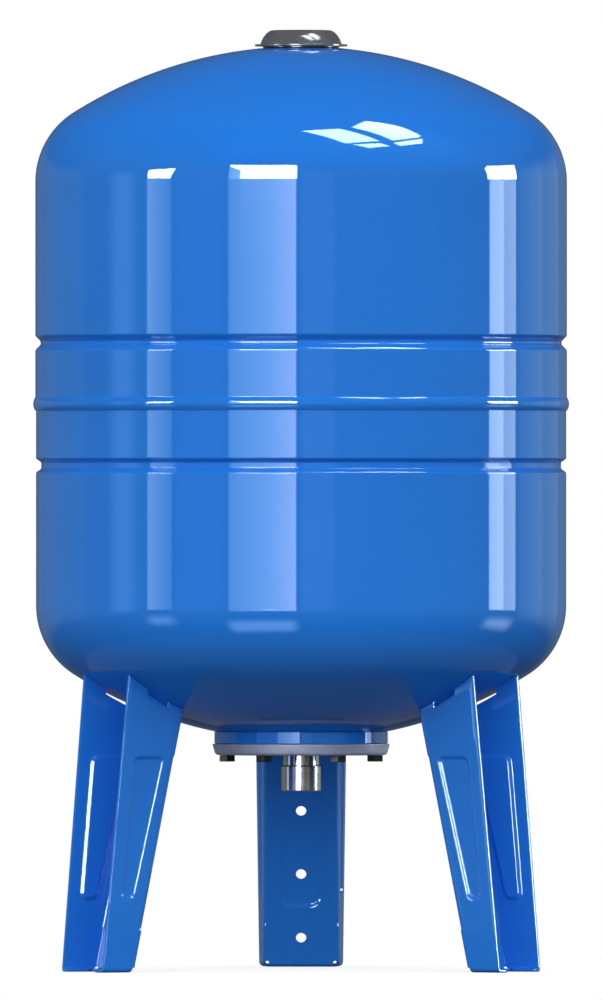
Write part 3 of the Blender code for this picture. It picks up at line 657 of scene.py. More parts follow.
@dataclass(frozen=True)
class ZincSheet:
    """Galvanised sheet: metal with a fine spangle and a dull bloom."""

    name: str = "galvanised_sheet"
    dark: Colour = (0.32, 0.35, 0.48)
    light: Colour = (0.40, 0.43, 0.57)
    spangle_scale: float = 260.0
    spangle_share: float = 0.55
    bloom_scale: float = 60.0
    dull: float = 0.56
    bright: float = 0.44
    metallic: float = 0.35
    grain: float = 0.00002
    grain_scale: float = 420.0
    grain_fine: float = 0.5

    def build(self, effects: Effects) -> Material:
        """Return the material: crystal cells that differ in tone and gloss.

        Args:
            effects: The shared node groups.

        Returns:
            The material.
        """
        material, graph, shader = new_material(self.name)
        place = graph.place()
        cells = graph.node("ShaderNodeTexVoronoi", {"Vector": place,
                                                    "Scale": self.spangle_scale})
        tone = graph.node("ShaderNodeSeparateColor", {0: cells.outputs["Color"]}).outputs[0]
        bloom = graph.effect(effects.blotches, place, Scale=self.bloom_scale)
        shade = graph.math("MULTIPLY_ADD", tone, self.spangle_share,
                           graph.math("MULTIPLY", bloom, 1.0 - self.spangle_share))
        rough = graph.ramp(shade, 0.0, 1.0, self.dull, self.bright)
        height = graph.effect(effects.ripple, place, Scale=self.grain_scale,
                              Fine=self.grain_fine)
        dress(graph, shader, graph.mix(shade, self.dark, self.light), rough, height, self.grain)
        shader.inputs["Metallic"].default_value = self.metallic
        return material


@dataclass(frozen=True)
class TurnedMetal:
    """Metal with the fine rings that a lathe leaves round the Z axis."""

    name: str
    colour: Colour
    deep: Colour
    roughness: float
    metallic: float = 1.0
    pitch: float = 0.00045
    depth: float = 0.0000004
    bloom_scale: float = 90.0
    bloom_dulling: float = 0.05
    scuffs: float = 0.15
    scuff_scale: float = 160.0

    def build(self, effects: Effects) -> Material:
        """Return the material: rings by height, uneven tone, and a few handling marks.

        Args:
            effects: The shared node groups.

        Returns:
            The material.
        """
        material, graph, shader = new_material(self.name)
        place = graph.place()
        height = graph.node("ShaderNodeSeparateXYZ", {0: place}).outputs["Z"]
        wave = graph.math("SINE", graph.math("MULTIPLY", height, 2.0 * math.pi / self.pitch))
        bloom = graph.effect(effects.blotches, place, Scale=self.bloom_scale)
        marks = graph.effect(effects.scuffs, place, Scale=self.scuff_scale, Amount=self.scuffs)
        dulled = graph.math("MULTIPLY_ADD", bloom, self.bloom_dulling, self.roughness)
        dress(graph, shader, graph.mix(bloom, self.deep, self.colour),
              graph.math("ADD", dulled, marks), wave, self.depth)
        shader.inputs["Metallic"].default_value = self.metallic
        return material


@dataclass(frozen=True)
class PlainSkin:
    """Black oxide, moulded plastic or rubber: one tone with grain, bloom and scuffs."""

    name: str
    colour: Colour
    bloom: Colour
    roughness: float
    metallic: float = 0.0
    grain: float = 0.00001
    grain_scale: float = 900.0
    grain_fine: float = 0.4
    patch_scale: float = 70.0
    patch_dulling: float = 0.06
    scuffs: float = 0.2
    scuff_scale: float = 90.0

    def build(self, effects: Effects) -> Material:
        """Return the material: two tones in patches, a fine grain and rougher scuffs.

        Args:
            effects: The shared node groups.

        Returns:
            The material.
        """
        material, graph, shader = new_material(self.name)
        place = graph.place()
        patches = graph.effect(effects.blotches, place, Scale=self.patch_scale)
        marks = graph.effect(effects.scuffs, place, Scale=self.scuff_scale, Amount=self.scuffs)
        height = graph.effect(effects.ripple, place, Scale=self.grain_scale,
                              Fine=self.grain_fine)
        dulled = graph.math("MULTIPLY_ADD", patches, self.patch_dulling, self.roughness)
        dress(graph, shader, graph.mix(patches, self.colour, self.bloom),
              graph.math("ADD", dulled, marks), height, self.grain)
        shader.inputs["Metallic"].default_value = self.metallic
        return material


@dataclass
class Finishes:
    """The tank's materials, built once."""

    effects: Effects = field(default_factory=Effects)
    made: dict[Slot, Material] = field(default_factory=dict)

    def __post_init__(self) -> None:
        """Build a material for each slot."""
        table = {
            Slot.BLUE_PAINT: BluePaint(),
            Slot.GALVANISED: ZincSheet(),
            Slot.BRIGHT_STEEL: TurnedMetal(
                "bright_turned_steel", colour=(0.40, 0.38, 0.41), deep=(0.33, 0.31, 0.34),
                roughness=0.08, metallic=0.75),
            Slot.BLACK_STEEL: PlainSkin(
                "black_oxide_steel", colour=(0.012, 0.012, 0.014), bloom=(0.022, 0.022, 0.024),
                roughness=0.36, metallic=0.5),
            Slot.BRASS: TurnedMetal(
                "turned_brass", colour=(0.66, 0.48, 0.20), deep=(0.52, 0.36, 0.13),
                roughness=0.22),
            Slot.RUBBER: PlainSkin(
                "moulded_rubber", colour=(0.012, 0.012, 0.012), bloom=(0.022, 0.021, 0.020),
                roughness=0.66, grain=0.00003),
            Slot.PLASTIC: PlainSkin(
                "dark_moulded_plastic", colour=(0.080, 0.080, 0.084),
                bloom=(0.100, 0.100, 0.104), roughness=0.12, grain=0.000006,
                grain_scale=1400.0),
        }
        self.made = {slot: finish.build(self.effects) for slot, finish in table.items()}

    def __getitem__(self, slot: Slot) -> Material:
        """Return the material of a slot."""
        return self.made[slot]

    def piece(self, name: str, patch: Patch, slot: Slot, sharp: float = SHARP_ANGLE) -> Piece:
        """Return a new piece in a slot's material."""
        return mesh_object(name, patch, self.made[slot], sharp)


# The tank's body


@dataclass
class Shells:
    """Two deep drawn shells with rolled beads, and the weld over their lap joint.

    Attributes:
        upper_bead: Height from the seam, half width, half of the flat bottom, and depth.
        lower_bead: The same of the lower bead.
        form_margin: Distances of a far and a near point beyond a form's end.
        joggle_margin: How far below the joggle the wall ends and the rim starts.
        inside_step: The inside keeps one of so many of the outside's points.
    """

    upper_radius: float = 225.3
    step: float = 0.6
    wall: float = 1.5
    lower_tangent: float = 309.1
    seam: float = 479.9
    upper_tangent: float = 668.4
    crown: float = 360.5
    knuckle: float = 69.3
    upper_bead: tuple[float, float, float, float] = (51.7, 7.0, 0.4, 4.5)
    lower_bead: tuple[float, float, float, float] = (-52.2, 6.5, 2.0, 4.4)
    lap: float = 8.0
    joggle: float = 1.5
    weld_half_width: float = 5.7
    weld_proud: float = 1.8
    weld_root: float = 0.1
    valve_hole: float = 6.3
    neck_hole: float = 42.0
    form_margin: tuple[float, float] = (1.0, 0.2)
    joggle_margin: tuple[float, float] = (1.5, 1.2)
    joggle_fillet: float = 0.8
    knuckle_points: int = 36
    crown_points: int = 44
    bead_points: int = 57
    wall_points: int = 9
    weld_points: int = 25
    inside_step: int = 3
    segments: int = 256

    @property
    def lower_radius(self) -> float:
        """Return the lower shell's outside radius."""
        return self.upper_radius - self.step

    def turn(self, radius: float) -> float:
        """Return the angle from level at which the knuckle of a body meets the crown."""
        return math.acos((radius - self.knuckle) / (self.crown - self.knuckle))

    def head(self, body: float, radii: Array) -> Array:
        """Return how far a head stands from its tangent plane.

        Inside the crown's edge it is the crown's circle, whose centre lies below the plane, and
        outside it the knuckle's circle about a centre on the plane.

        Args:
            body: The body's radius.
            radii: Radii at which to measure.

        Returns:
            The heights at those radii.
        """
        turn = self.turn(body)
        centre = -(self.crown - self.knuckle) * math.sin(turn)
        crown = centre + np.sqrt(self.crown ** 2 - np.minimum(radii, self.crown) ** 2)
        out = np.clip(radii - (body - self.knuckle), 0.0, self.knuckle)
        bend = np.sqrt(self.knuckle ** 2 - out ** 2)
        return np.where(radii < self.crown * math.cos(turn), crown, bend)

    def head_outline(self, body: float, hole: float) -> Array:
        """Return a head's radius and rise, from its tangent plane over the knuckle to a hole.

        Args:
            body: The body's radius.
            hole: The hole's radius.

        Returns:
            Radius and rise of each point.
        """
        turn = self.turn(body)
        knuckle = arc((body - self.knuckle, 0.0), self.knuckle, 0.0, turn,
                      self.knuckle_points)
        radii = np.linspace(self.crown * math.cos(turn), hole, self.crown_points)[1:]
        return np.concatenate([knuckle, np.stack([radii, self.head(body, radii)], -1)])

    def under(self, radii: Array) -> Array:
        """Return the height of the lower shell's outside at given radii."""
        return self.lower_tangent - self.head(self.lower_radius, radii)

    def over(self, radius: float) -> float:
        """Return the height of the upper shell's outside at a radius."""
        return self.upper_tangent + float(self.head(self.upper_radius, np.array([radius]))[0])

    def bead(self, sizes: tuple[float, float, float, float], radius: float) -> Array:
        """Return a rolled bead: radius less depth times half a cosine wave on each flank.

        Args:
            sizes: Height from the seam, half width, half of the flat bottom, and depth.
            radius: The wall's radius.

        Returns:
            The bead's outline from its lower to its upper edge.
        """
        level, half, flat, depth = sizes
        margin = half + np.array(self.form_margin)
        height = np.concatenate([-margin, np.linspace(-half, half, self.bead_points),
                                 margin[::-1]])
        inward = 1.0 - eased(np.abs(height), flat, half)
        return np.stack([radius - depth * inward, self.seam + level + height], -1)

    def wall_line(self, radius: float, low: float, high: float) -> Array:
        """Return a plain stretch of wall: points close to both ends and evenly between.

        Args:
            radius: The wall's radius.
            low: Its lower end.
            high: Its upper end.

        Returns:
            Radius and height of each point.
        """
        far, near = self.form_margin
        inner = np.linspace(low + far, high - far, self.wall_points)
        height = np.concatenate([[low, low + near], inner, [high - near]])
        return np.stack([np.full(len(height), radius), height], -1)

    def shell(self, outside: Array) -> Patch:
        """Return a closed wall: the outside, and some of its points again on the inside.

        Args:
            outside: The outside's outline, its lower end first.

        Returns:
            The closed wall.
        """
        inside = offset(outside, self.wall)
        thin = np.concatenate([inside[:1], inside[1:-1:self.inside_step],
                               inside[-1:]])[::-1]
        return revolved(np.concatenate([outside, thin]), self.segments, True)

    def upper(self) -> Patch:
        """Return the upper shell, from its rim at the seam to the valve hole.

        Returns:
            The closed shell.
        """
        radius = self.upper_radius
        head = self.head_outline(radius, self.valve_hole) + np.array([0.0, self.upper_tangent])
        bead = self.bead(self.upper_bead, radius)
        rim = self.wall_line(radius, self.seam + SEAT_GAP, bead[0, 1])
        wall = self.wall_line(radius, bead[-1, 1], self.upper_tangent)
        return self.shell(np.concatenate([rim, bead, wall[1:], head]))

    def lower(self) -> Patch:
        """Return the lower shell, from the neck hole to the rim that laps inside the upper.

        Returns:
            The closed shell.
        """
        radius = self.lower_radius
        head = self.head_outline(radius, self.neck_hole)[::-1] * np.array([1.0, -1.0])
        lap = self.upper_radius - self.wall - SEAT_GAP
        bead = self.bead(self.lower_bead, radius)
        wall = self.wall_line(radius, self.lower_tangent, bead[0, 1])
        step = self.seam - SEAT_GAP - self.joggle
        land_end, lead = self.joggle_margin
        land = self.wall_line(radius, bead[-1, 1], step - land_end)
        rim = filleted([(radius, step - lead, 0.0), (radius, step, self.joggle_fillet),
                        (lap, self.seam - SEAT_GAP, self.joggle_fillet),
                        (lap, self.seam + self.lap, 0.0)], 5, False)
        return self.shell(np.concatenate([head + np.array([0.0, self.lower_tangent]),
                                          wall[1:], bead, land[1:], rim]))

    def weld(self) -> Patch:
        """Return the weld: an arc that rises over the joint, closed along both shells.

        Returns:
            The closed bead.
        """
        half, proud = self.weld_half_width, self.weld_proud
        radius = (half ** 2 + proud ** 2) / (2.0 * proud)
        reach = math.asin(half / radius)
        crest = arc((self.upper_radius + proud - radius, self.seam), radius, -reach, reach,
                    self.weld_points)
        floor = np.where(crest[:, 1] < self.seam, self.lower_radius, self.upper_radius)
        crest[:, 0] = np.maximum(crest[:, 0], floor + SEAT_GAP)
        upper, lower = self.upper_radius + self.weld_root, self.lower_radius + self.weld_root
        back = np.array([[upper, self.seam + half], [upper, self.seam],
                         [lower, self.seam], [lower, self.seam - half]])
        return revolved(np.concatenate([crest, back]), self.segments, True)

    def build(self, finishes: Finishes) -> None:
        """Build the shells and their weld and dress them.

        Args:
            finishes: The tank's materials.
        """
        for name, patch, node in (("upper_shell_body", self.upper(), "upper_shell"),
                                  ("lower_shell_body", self.lower(), "lower_shell"),
                                  ("girth_weld_bead", self.weld(), "girth_weld")):
            seat(finishes.piece(name, patch, Slot.BLUE_PAINT), [node])


@dataclass
class WaterConnection:
    """Neck ring, bolted counter flange, water nipple, bolts and the rubber bag.

    Attributes:
        flange_easing: Fillets of the pan's hole, rim and inner corner.
        head_easing: How far a head's upper edge is eased across and down.
        nipple_easing: Fillets of the nipple's end, corners, mouth and top.
    """

    shells: Shells
    hole_radius: float = 42.0
    ring_radius: float = 73.5
    ring_edge: float = 9.99
    ring_easing: float = 0.6
    flange_radius: float = 75.3
    flange_height: float = 9.45
    flange_sheet: float = 3.0
    flange_draft: float = 2.7
    flange_corner: float = 3.4
    flange_easing: tuple[float, float, float] = (0.3, 0.5, 0.8)
    bolt_count: int = 6
    bolt_circle: float = 62.65
    bolt_radius: float = 4.0
    bolt_clearance: float = 0.5
    head_flats: float = 13.0
    head_height: float = 5.3
    head_easing: tuple[float, float] = (0.25, 0.2)
    head_washer: float = 0.94
    head_chamfer: float = math.radians(30.0)
    head_sharp: float = 28.0
    tip_chamfer: float = 1.0
    thread_in_ring: float = 5.5
    nipple_radius: float = 16.8
    nipple_bore: float = 13.0
    nipple_length: float = 30.7
    nipple_neck: float = 15.3
    nipple_neck_length: float = 8.7
    nipple_flare: float = 1.0
    nipple_chamfer: float = 0.8
    nipple_easing: tuple[float, float, float, float] = (0.2, 0.3, 0.4, 0.5)
    collar_radius: float = 20.0
    collar_height: float = 3.0
    bag_wall: float = 2.5
    bag_lip: float = 56.0
    bag_side_room: float = 45.8
    bag_top_room: float = 102.0
    bag_bottom_room: float = 24.0
    bag_points: int = 40
    ring_points: int = 9
    hole_segments: int = 32
    bolt_segments: int = 96
    segments: int = 144

    def __post_init__(self) -> None:
        """Work out the levels that follow from the dome."""
        edge = float(self.shells.under(np.array([self.ring_radius]))[0])
        self.ring_top = edge - SEAT_GAP
        self.ring_bottom = self.ring_top - self.ring_edge
        self.flange_top = self.ring_bottom - SEAT_GAP
        self.flange_bottom = self.flange_top - self.flange_height
        self.flange_floor = self.flange_bottom + self.flange_sheet
        self.head_top = self.flange_bottom - SEAT_GAP
        self.bolt_tip = self.ring_bottom + self.thread_in_ring

    def bolt_places(self) -> Array:
        """Return the bolts' centres, the first of them on +X."""
        angles = np.arange(self.bolt_count) * (2.0 * np.pi / self.bolt_count)
        return self.bolt_circle * np.stack([np.cos(angles), np.sin(angles)], -1)

    def holes(self, radius: float, bottom: float, top: float) -> Patch:
        """Return one closed rod for each bolt.

        Args:
            radius: The rods' radius.
            bottom: Their lower end.
            top: Their upper end.

        Returns:
            The rods as one patch.
        """
        rod = revolved(np.array([[0.0, bottom], [radius, bottom], [radius, top], [0.0, top]]),
                       self.hole_segments, False)
        return joined([rod.moved(x, y) for x, y in self.bolt_places()]).outward()

    def ring(self) -> Patch:
        """Return the neck ring: its top follows the dome, its lower edges are eased.

        Returns:
            The closed ring, not yet drilled.
        """
        radii = np.linspace(self.ring_radius, self.hole_radius, self.ring_points)
        top = np.stack([radii, self.shells.under(radii) - SEAT_GAP], -1)
        low = filleted([(self.hole_radius, top[-1, 1], 0.0),
                        (self.hole_radius, self.ring_bottom, self.ring_easing),
                        (self.ring_radius, self.ring_bottom, self.ring_easing),
                        (self.ring_radius, self.ring_top, 0.0)], 5, False)
        return revolved(np.concatenate([low, top[1:-1]]), self.segments, True)

    def pan(self) -> Patch:
        """Return the counter flange: a shallow pan with a rounded lower corner, rim upward.

        Returns:
            The closed pan, not yet drilled.
        """
        foot = self.flange_radius - self.flange_draft
        sheet, corner = self.flange_sheet, self.flange_corner
        edge, rim, inner = self.flange_easing
        hole = self.nipple_neck + SEAT_GAP
        section = filleted([(hole, self.flange_bottom, edge),
                            (foot, self.flange_bottom, corner),
                            (self.flange_radius, self.flange_top, rim),
                            (self.flange_radius - sheet, self.flange_top, rim),
                            (foot - sheet, self.flange_floor, inner),
                            (hole, self.flange_floor, edge)], 7, True)
        return revolved(section, self.segments, True)

    def nipple(self) -> Patch:
        """Return the nipple: bore, chamfered end, flare, neck through the pan, and collar.

        Returns:
            The closed pipe.
        """
        bottom = self.flange_bottom - self.nipple_length
        shoulder = self.flange_bottom - self.nipple_neck_length
        collar = self.flange_floor + SEAT_GAP
        chamfer = self.nipple_chamfer
        end, corner, mouth, top = self.nipple_easing
        section = filleted([(self.nipple_bore, bottom, mouth),
                            (self.nipple_radius - chamfer, bottom, end),
                            (self.nipple_radius, bottom + chamfer, corner),
                            (self.nipple_radius, shoulder - self.nipple_flare, corner),
                            (self.nipple_neck, shoulder, corner),
                            (self.nipple_neck, collar, 0.0),
                            (self.collar_radius, collar, corner),
                            (self.collar_radius, collar + self.collar_height, top),
                            (self.nipple_bore, collar + self.collar_height, top)], 6, True)
        return revolved(section, self.segments, True)

    def bolt(self) -> Patch:
        """Return one bolt on the axis.

        Its head's side is at the distance of the hexagon's flat, f / cos(a - nearest flat), and
        the lower end is also cut by a cone, so each corner ends in the curve of the chamfer.

        Returns:
            The closed bolt, with its head below.
        """
        count = self.bolt_segments
        angles = np.arange(count) * (2.0 * np.pi / count)
        flat = self.head_flats / 2.0
        sixth = np.pi / 3.0
        nearest = np.round(angles / sixth) * sixth
        hexagon = flat / np.cos(angles - nearest)
        low = self.head_top - self.head_height
        washer = flat * self.head_washer
        cone = low + (hexagon - washer) * math.tan(self.head_chamfer)
        across, down = self.head_easing
        shank = np.full(count, self.bolt_radius)
        zero = np.zeros(count)
        rings = [(zero, zero + low), (np.full(count, washer), zero + low), (hexagon, cone),
                 (hexagon, zero + self.head_top - down), (hexagon - across, zero + self.head_top),
                 (shank, zero + self.head_top), (shank, zero + self.bolt_tip - self.tip_chamfer),
                 (shank - self.tip_chamfer, zero + self.bolt_tip), (zero, zero + self.bolt_tip)]
        radius, height = (np.stack(part) for part in zip(*rings))
        base = revolved(np.stack([radius[:, 0], height[:, 0]], -1), count, False)
        full = np.stack([radius * np.cos(angles), radius * np.sin(angles), height], -1)
        inner = full[1:-1].reshape(-1, 3)
        points = np.concatenate([full[0, :1], inner, full[-1, :1]])
        return Patch(points, base.quads, base.triangles)

    def bag(self) -> Patch:
        """Return the bag: two half ellipses from the top down to a neck, with a clamped lip.

        Returns:
            The closed bag.
        """
        shells = self.shells
        top = shells.over(0.0) - (shells.wall + self.bag_top_room)
        bottom = float(shells.under(np.zeros(1))[0]) + shells.wall + self.bag_bottom_room
        neck = self.hole_radius - 2.0 * SEAT_GAP
        lip_low, lip_high = self.flange_floor + SEAT_GAP, self.ring_bottom - SEAT_GAP

        def side(shrink: float, throat: float) -> Array:
            """Return the bag's outline, made smaller all round, from its top to its throat.

            Args:
                shrink: How much smaller it is.
                throat: Radius where it ends.

            Returns:
                Radius and height of each point.
            """
            across = shells.lower_radius - shells.wall - self.bag_side_room - shrink
            end = math.pi - math.asin(throat / across)
            a = np.linspace(0.0, end, self.bag_points)
            return np.stack([across * np.sin(a),
                             (top + bottom) / 2.0 + ((top - bottom) / 2.0 - shrink) * np.cos(a)],
                            -1)

        throat = neck - self.bag_wall
        outline = np.concatenate([side(0.0, neck),
                                  [[neck, lip_high], [self.bag_lip, lip_high],
                                   [self.bag_lip, lip_low], [throat, lip_low]],
                                  side(self.bag_wall, throat)[::-1]])
        return revolved(outline, self.segments, False)

    def build(self, finishes: Finishes) -> None:
        """Build the pieces under the tank and dress them.

        Args:
            finishes: The tank's materials.
        """
        ring = finishes.piece("neck_ring_body", self.ring(), Slot.BLUE_PAINT)
        drilled(ring, self.holes(self.bolt_radius + SEAT_GAP, self.ring_bottom - SEAT_GAP,
                                 self.bolt_tip + SEAT_GAP))
        seat(ring, ["neck_ring"])
        pan = finishes.piece("counter_flange_pan", self.pan(), Slot.GALVANISED)
        drilled(pan, self.holes(self.bolt_radius + self.bolt_clearance,
                                self.flange_bottom - SEAT_GAP, self.flange_floor + SEAT_GAP))
        seat(pan, ["counter_flange"])
        nipple = finishes.piece("nipple_body", self.nipple(), Slot.BRIGHT_STEEL)
        seat(nipple, ["water_nipple"])
        bolt = self.bolt()
        for number, (x, y) in enumerate(self.bolt_places(), start=1):
            piece = finishes.piece(f"hex_bolt_{number}", bolt.moved(x, y), Slot.BLACK_STEEL,
                                   self.head_sharp)
            seat(piece, [f"flange_bolt_{number}"])
        seat(finishes.piece("rubber_bag", self.bag(), Slot.RUBBER), ["bladder"])


@dataclass
class ValveCover:
    """Low domed plastic cover with a thin brim, over the air valve at the top.

    Attributes:
        brim_easing: Fillets of the brim's edge and of the corner under it.
    """

    shells: Shells
    height: float = 13.7
    top_radius: float = 23.2
    shoulder: float = 8.0
    shoulder_end: float = math.radians(50.0)
    side: float = 18.0
    side_end: float = math.radians(18.0)
    wall: float = 1.3
    brim_radius: float = 39.2
    brim_thickness: float = 1.7
    brim_easing: tuple[float, float] = (0.35, 0.25)
    skirt_radius: float = 32.4
    skirt_easing: float = 0.2
    nut_flats: float = 19.0
    nut_height: float = 4.0
    sleeve_reach: float = 3.0
    arc_points: int = 16
    segments: int = 160

    def hood(self, top: float, wall: float, brim: float) -> Array:
        """Return the hood's outline: flat top, small shoulder arc, wide side arc, brim.

        Args:
            top: Height of the flat top.
            wall: How far inside the outer face it lies.
            brim: Height of its lower end.

        Returns:
            Radius and height of each point.
        """
        centre = np.array([self.top_radius, top - self.shoulder])
        shoulder = arc(centre, self.shoulder - wall, math.pi / 2.0, self.shoulder_end,
                       self.arc_points)
        turn = np.array([math.cos(self.shoulder_end), math.sin(self.shoulder_end)])
        centre -= turn * (self.side - self.shoulder)
        side = arc(centre, self.side - wall, self.shoulder_end, self.side_end, self.arc_points)
        drop = side[-1, 1] - brim
        foot = [side[-1, 0] + drop * math.tan(self.side_end), brim]
        return np.concatenate([shoulder, side[1:], [foot]])

    def section(self) -> Array:
        """Return the cover's closed section, with its brim, skirt and inner sleeve.

        Returns:
            Radius and height of each point.
        """
        low = self.shells.over(0.0)
        top = low + self.height
        high = low + self.brim_thickness
        skirt = self.shells.over(self.skirt_radius) + SEAT_GAP
        sleeve = self.nut_flats / math.sqrt(3.0) + SEAT_GAP
        sleeve_low = low + SEAT_GAP + self.nut_height - self.sleeve_reach
        ceiling = top - self.wall
        edge, under = self.brim_easing
        outside, inside = self.skirt_radius, self.skirt_radius - self.wall
        rim = filleted([(outside, high, 0.0), (self.brim_radius, high, edge),
                        (self.brim_radius, low, edge), (outside, low, under),
                        (outside, skirt, self.skirt_easing), (inside, skirt, self.skirt_easing),
                        (inside, low, 0.0)], 5, False)
        inner = [[sleeve + self.wall, ceiling], [sleeve + self.wall, sleeve_low],
                 [sleeve, sleeve_low], [sleeve, ceiling], [0.0, ceiling]]
        return np.concatenate([[[0.0, top]], self.hood(top, 0.0, high), rim[1:],
                               self.hood(top, self.wall, high)[::-1], inner])

    def build(self, finishes: Finishes) -> None:
        """Build the cover and dress it.

        Args:
            finishes: The tank's materials.
        """
        patch = revolved(self.section(), self.segments, False)
        seat(finishes.piece("snap_cover", patch, Slot.PLASTIC), ["valve_cover"])


@dataclass
class AirValve:
    """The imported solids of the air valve, which stay as they are under the cover."""

    slots: dict[str, Slot] = field(default_factory=lambda: {
        "valve_stem": Slot.BRASS, "valve_nut": Slot.BRASS, "valve_core": Slot.BRASS,
        "valve_gasket": Slot.RUBBER, "valve_dust_cap": Slot.PLASTIC})

    def build(self, finishes: Finishes) -> None:
        """Give each solid its material.

        Args:
            finishes: The tank's materials.
        """
        for name, slot in self.slots.items():
            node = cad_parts[name]
            node.data.materials.clear()
            node.data.materials.append(finishes[slot])
            LOG.info("%s: %s", name, slot.value)


# The legs


@dataclass
class Skin:
    """One half of a leg's outer skin before pressing, as arrays over its grid.

    Attributes:
        points: Grid points.
        normals: Outward unit normals.
        across: Distance from the web's middle on the web, and far away elsewhere.
        along: Distance from the fold's corner line on the flange, and far away elsewhere.
    """

    points: Array
    normals: Array
    across: Array
    along: Array


@dataclass
class Leg:
    """A channel of folded sheet with pressed panels, as the surface of two parameters.

    One parameter runs across the sheet, from the middle of the web over the bend to the
    flange's free edge, and the other up the leg. The other half is the mirror image.

    Attributes:
        web_panel: Half width, lower end, upper end and corner of the web's panel.
        flange_panel: Lower end, upper end and corner of the flange's panel.
        panel_low: Its sides' places at the lower end, as shares of the flange's width.
        panel_high: The same at the upper end.
        web_press_lead: How far the dense lines reach on either side of the web's corner.
        outer_press: Distances inside a panel's outline where the outer wall starts and ends.
        inner_press: The same on the inner skin.
        notch_turn: Heights past that panel where the lines leave it and reach the notch.
    """

    shells: Shells
    sheet: float = 2.5
    edge_foot: float = 213.0
    web_foot: float = 180.5
    web_lean: float = 0.2177
    edge_lean: float = 0.093
    half_width: float = 32.2
    splay: float = math.radians(6.5)
    bend: float = 3.4
    wide_bend: float = 5.6
    wide_from: float = 36.0
    wide_to: float = 182.5
    bend_change: float = 3.0
    bend_columns: int = 8
    press: float = 2.0
    notch_inner: float = 152.2
    notch_outer: float = 174.1
    notch_depth: float = 5.0
    foot_bend: float = 4.0
    lip: float = 12.0
    web_lip_half: float = 27.3
    flange_lip_start: float = 4.0
    relief_across: float = 28.9
    relief_height: float = 3.5
    relief_radius: float = 1.5
    relief_reach: float = 4.0
    hole_radius: float = 4.4
    hole_heights: tuple[float, ...] = (24.6, 78.65, 132.7)
    hole_reach: float = 9.0
    web_panel: tuple[float, float, float, float] = (17.6, 51.0, 190.0, 10.0)
    flange_panel: tuple[float, float, float] = (61.5, 182.0, 5.5)
    panel_low: tuple[float, float] = (0.365, 0.704)
    panel_high: tuple[float, float] = (0.197, 0.770)
    edge_radius: float = 0.35
    edge_sharp: float = math.radians(50.0)
    press_step: float = 0.65
    press_lead: float = 2.6
    web_press_lead: tuple[float, float] = (0.7, 2.7)
    outer_press: tuple[float, float] = (-0.8, 2.8)
    inner_press: tuple[float, float] = (-2.3, 2.3)
    panel_margin: float = 4.0
    notch_turn: tuple[float, float] = (6.0, 24.0)
    foot_points: int = 8
    lip_points: int = 4
    rod_segments: int = 40
    first_top: float = 225.0
    top_rounds: int = 30

    def web(self, z: Array) -> Array:
        """Return the web's distance from the tank's axis at a height."""
        return self.web_foot - self.web_lean * z

    def width(self, z: Array) -> Array:
        """Return the flange's full width at a height, from the fold's corner line."""
        return (self.edge_foot - self.edge_lean * z - self.web(z)) / math.cos(self.splay)

    def bend_radius(self, z: Array) -> Array:
        """Return the fold's outside radius, which grows to the wide bend and shrinks again.

        Args:
            z: Heights.

        Returns:
            The radius at each height.
        """
        half = self.bend_change / 2.0
        wide = (eased(z, self.wide_from - half, self.wide_from + half)
                * (1.0 - eased(z, self.wide_to - half, self.wide_to + half)))
        return self.bend + (self.wide_bend - self.bend) * wide

    def fold(self, z: Array) -> Array:
        """Return the distance from the fold's corner to where the flat sheet starts."""
        return self.bend_radius(z) * math.tan((math.pi / 2.0 - self.splay) / 2.0)

    def side(self, z: Array, which: int) -> Array:
        """Return where a long side of the flange's panel lies at a height, along the flange.

        Args:
            z: Heights.
            which: 0 for the side by the fold, 1 for the other.

        Returns:
            The distance from the fold's corner.
        """
        low, high, _ = self.flange_panel
        first = self.panel_low[which] * float(self.width(np.array(low)))
        last = self.panel_high[which] * float(self.width(np.array(high)))
        return first + (last - first) * (z - low) / (high - low)

    def at_radius(self, z: Array, radius: float) -> Array:
        """Return the flange coordinate whose distance from the tank's axis is a radius.

        With the corner at (h, web) and the flange along (sin s, cos s), it is the larger root
        of w^2 + 2 w (h sin s + web cos s) + h^2 + web^2 = radius^2.

        Args:
            z: Heights.
            radius: Distance from the tank's axis.

        Returns:
            The distance from the fold's corner.
        """
        web = self.web(z)
        half = self.half_width * math.sin(self.splay) + web * math.cos(self.splay)
        return -half + np.sqrt(half ** 2 - self.half_width ** 2 - web ** 2 + radius ** 2)

    def web_columns(self) -> Array:
        """Return the web's grid lines as distances from its middle, up to the foot's lip.

        Returns:
            The distances, from nought up.
        """
        half, *_, corner = self.web_panel
        before, after = self.web_press_lead
        dense = np.arange(half - corner - before, half + after, self.press_step)
        return np.concatenate([[0.0, 2.4, 4.8], dense, [22.0, 24.5, self.web_lip_half]])

    def press_lines(self) -> Array:
        """Return how far the dense lines lie past a long side of the flange's panel."""
        return np.arange(-self.press_lead, self.flange_panel[2] + 1.0, self.press_step)

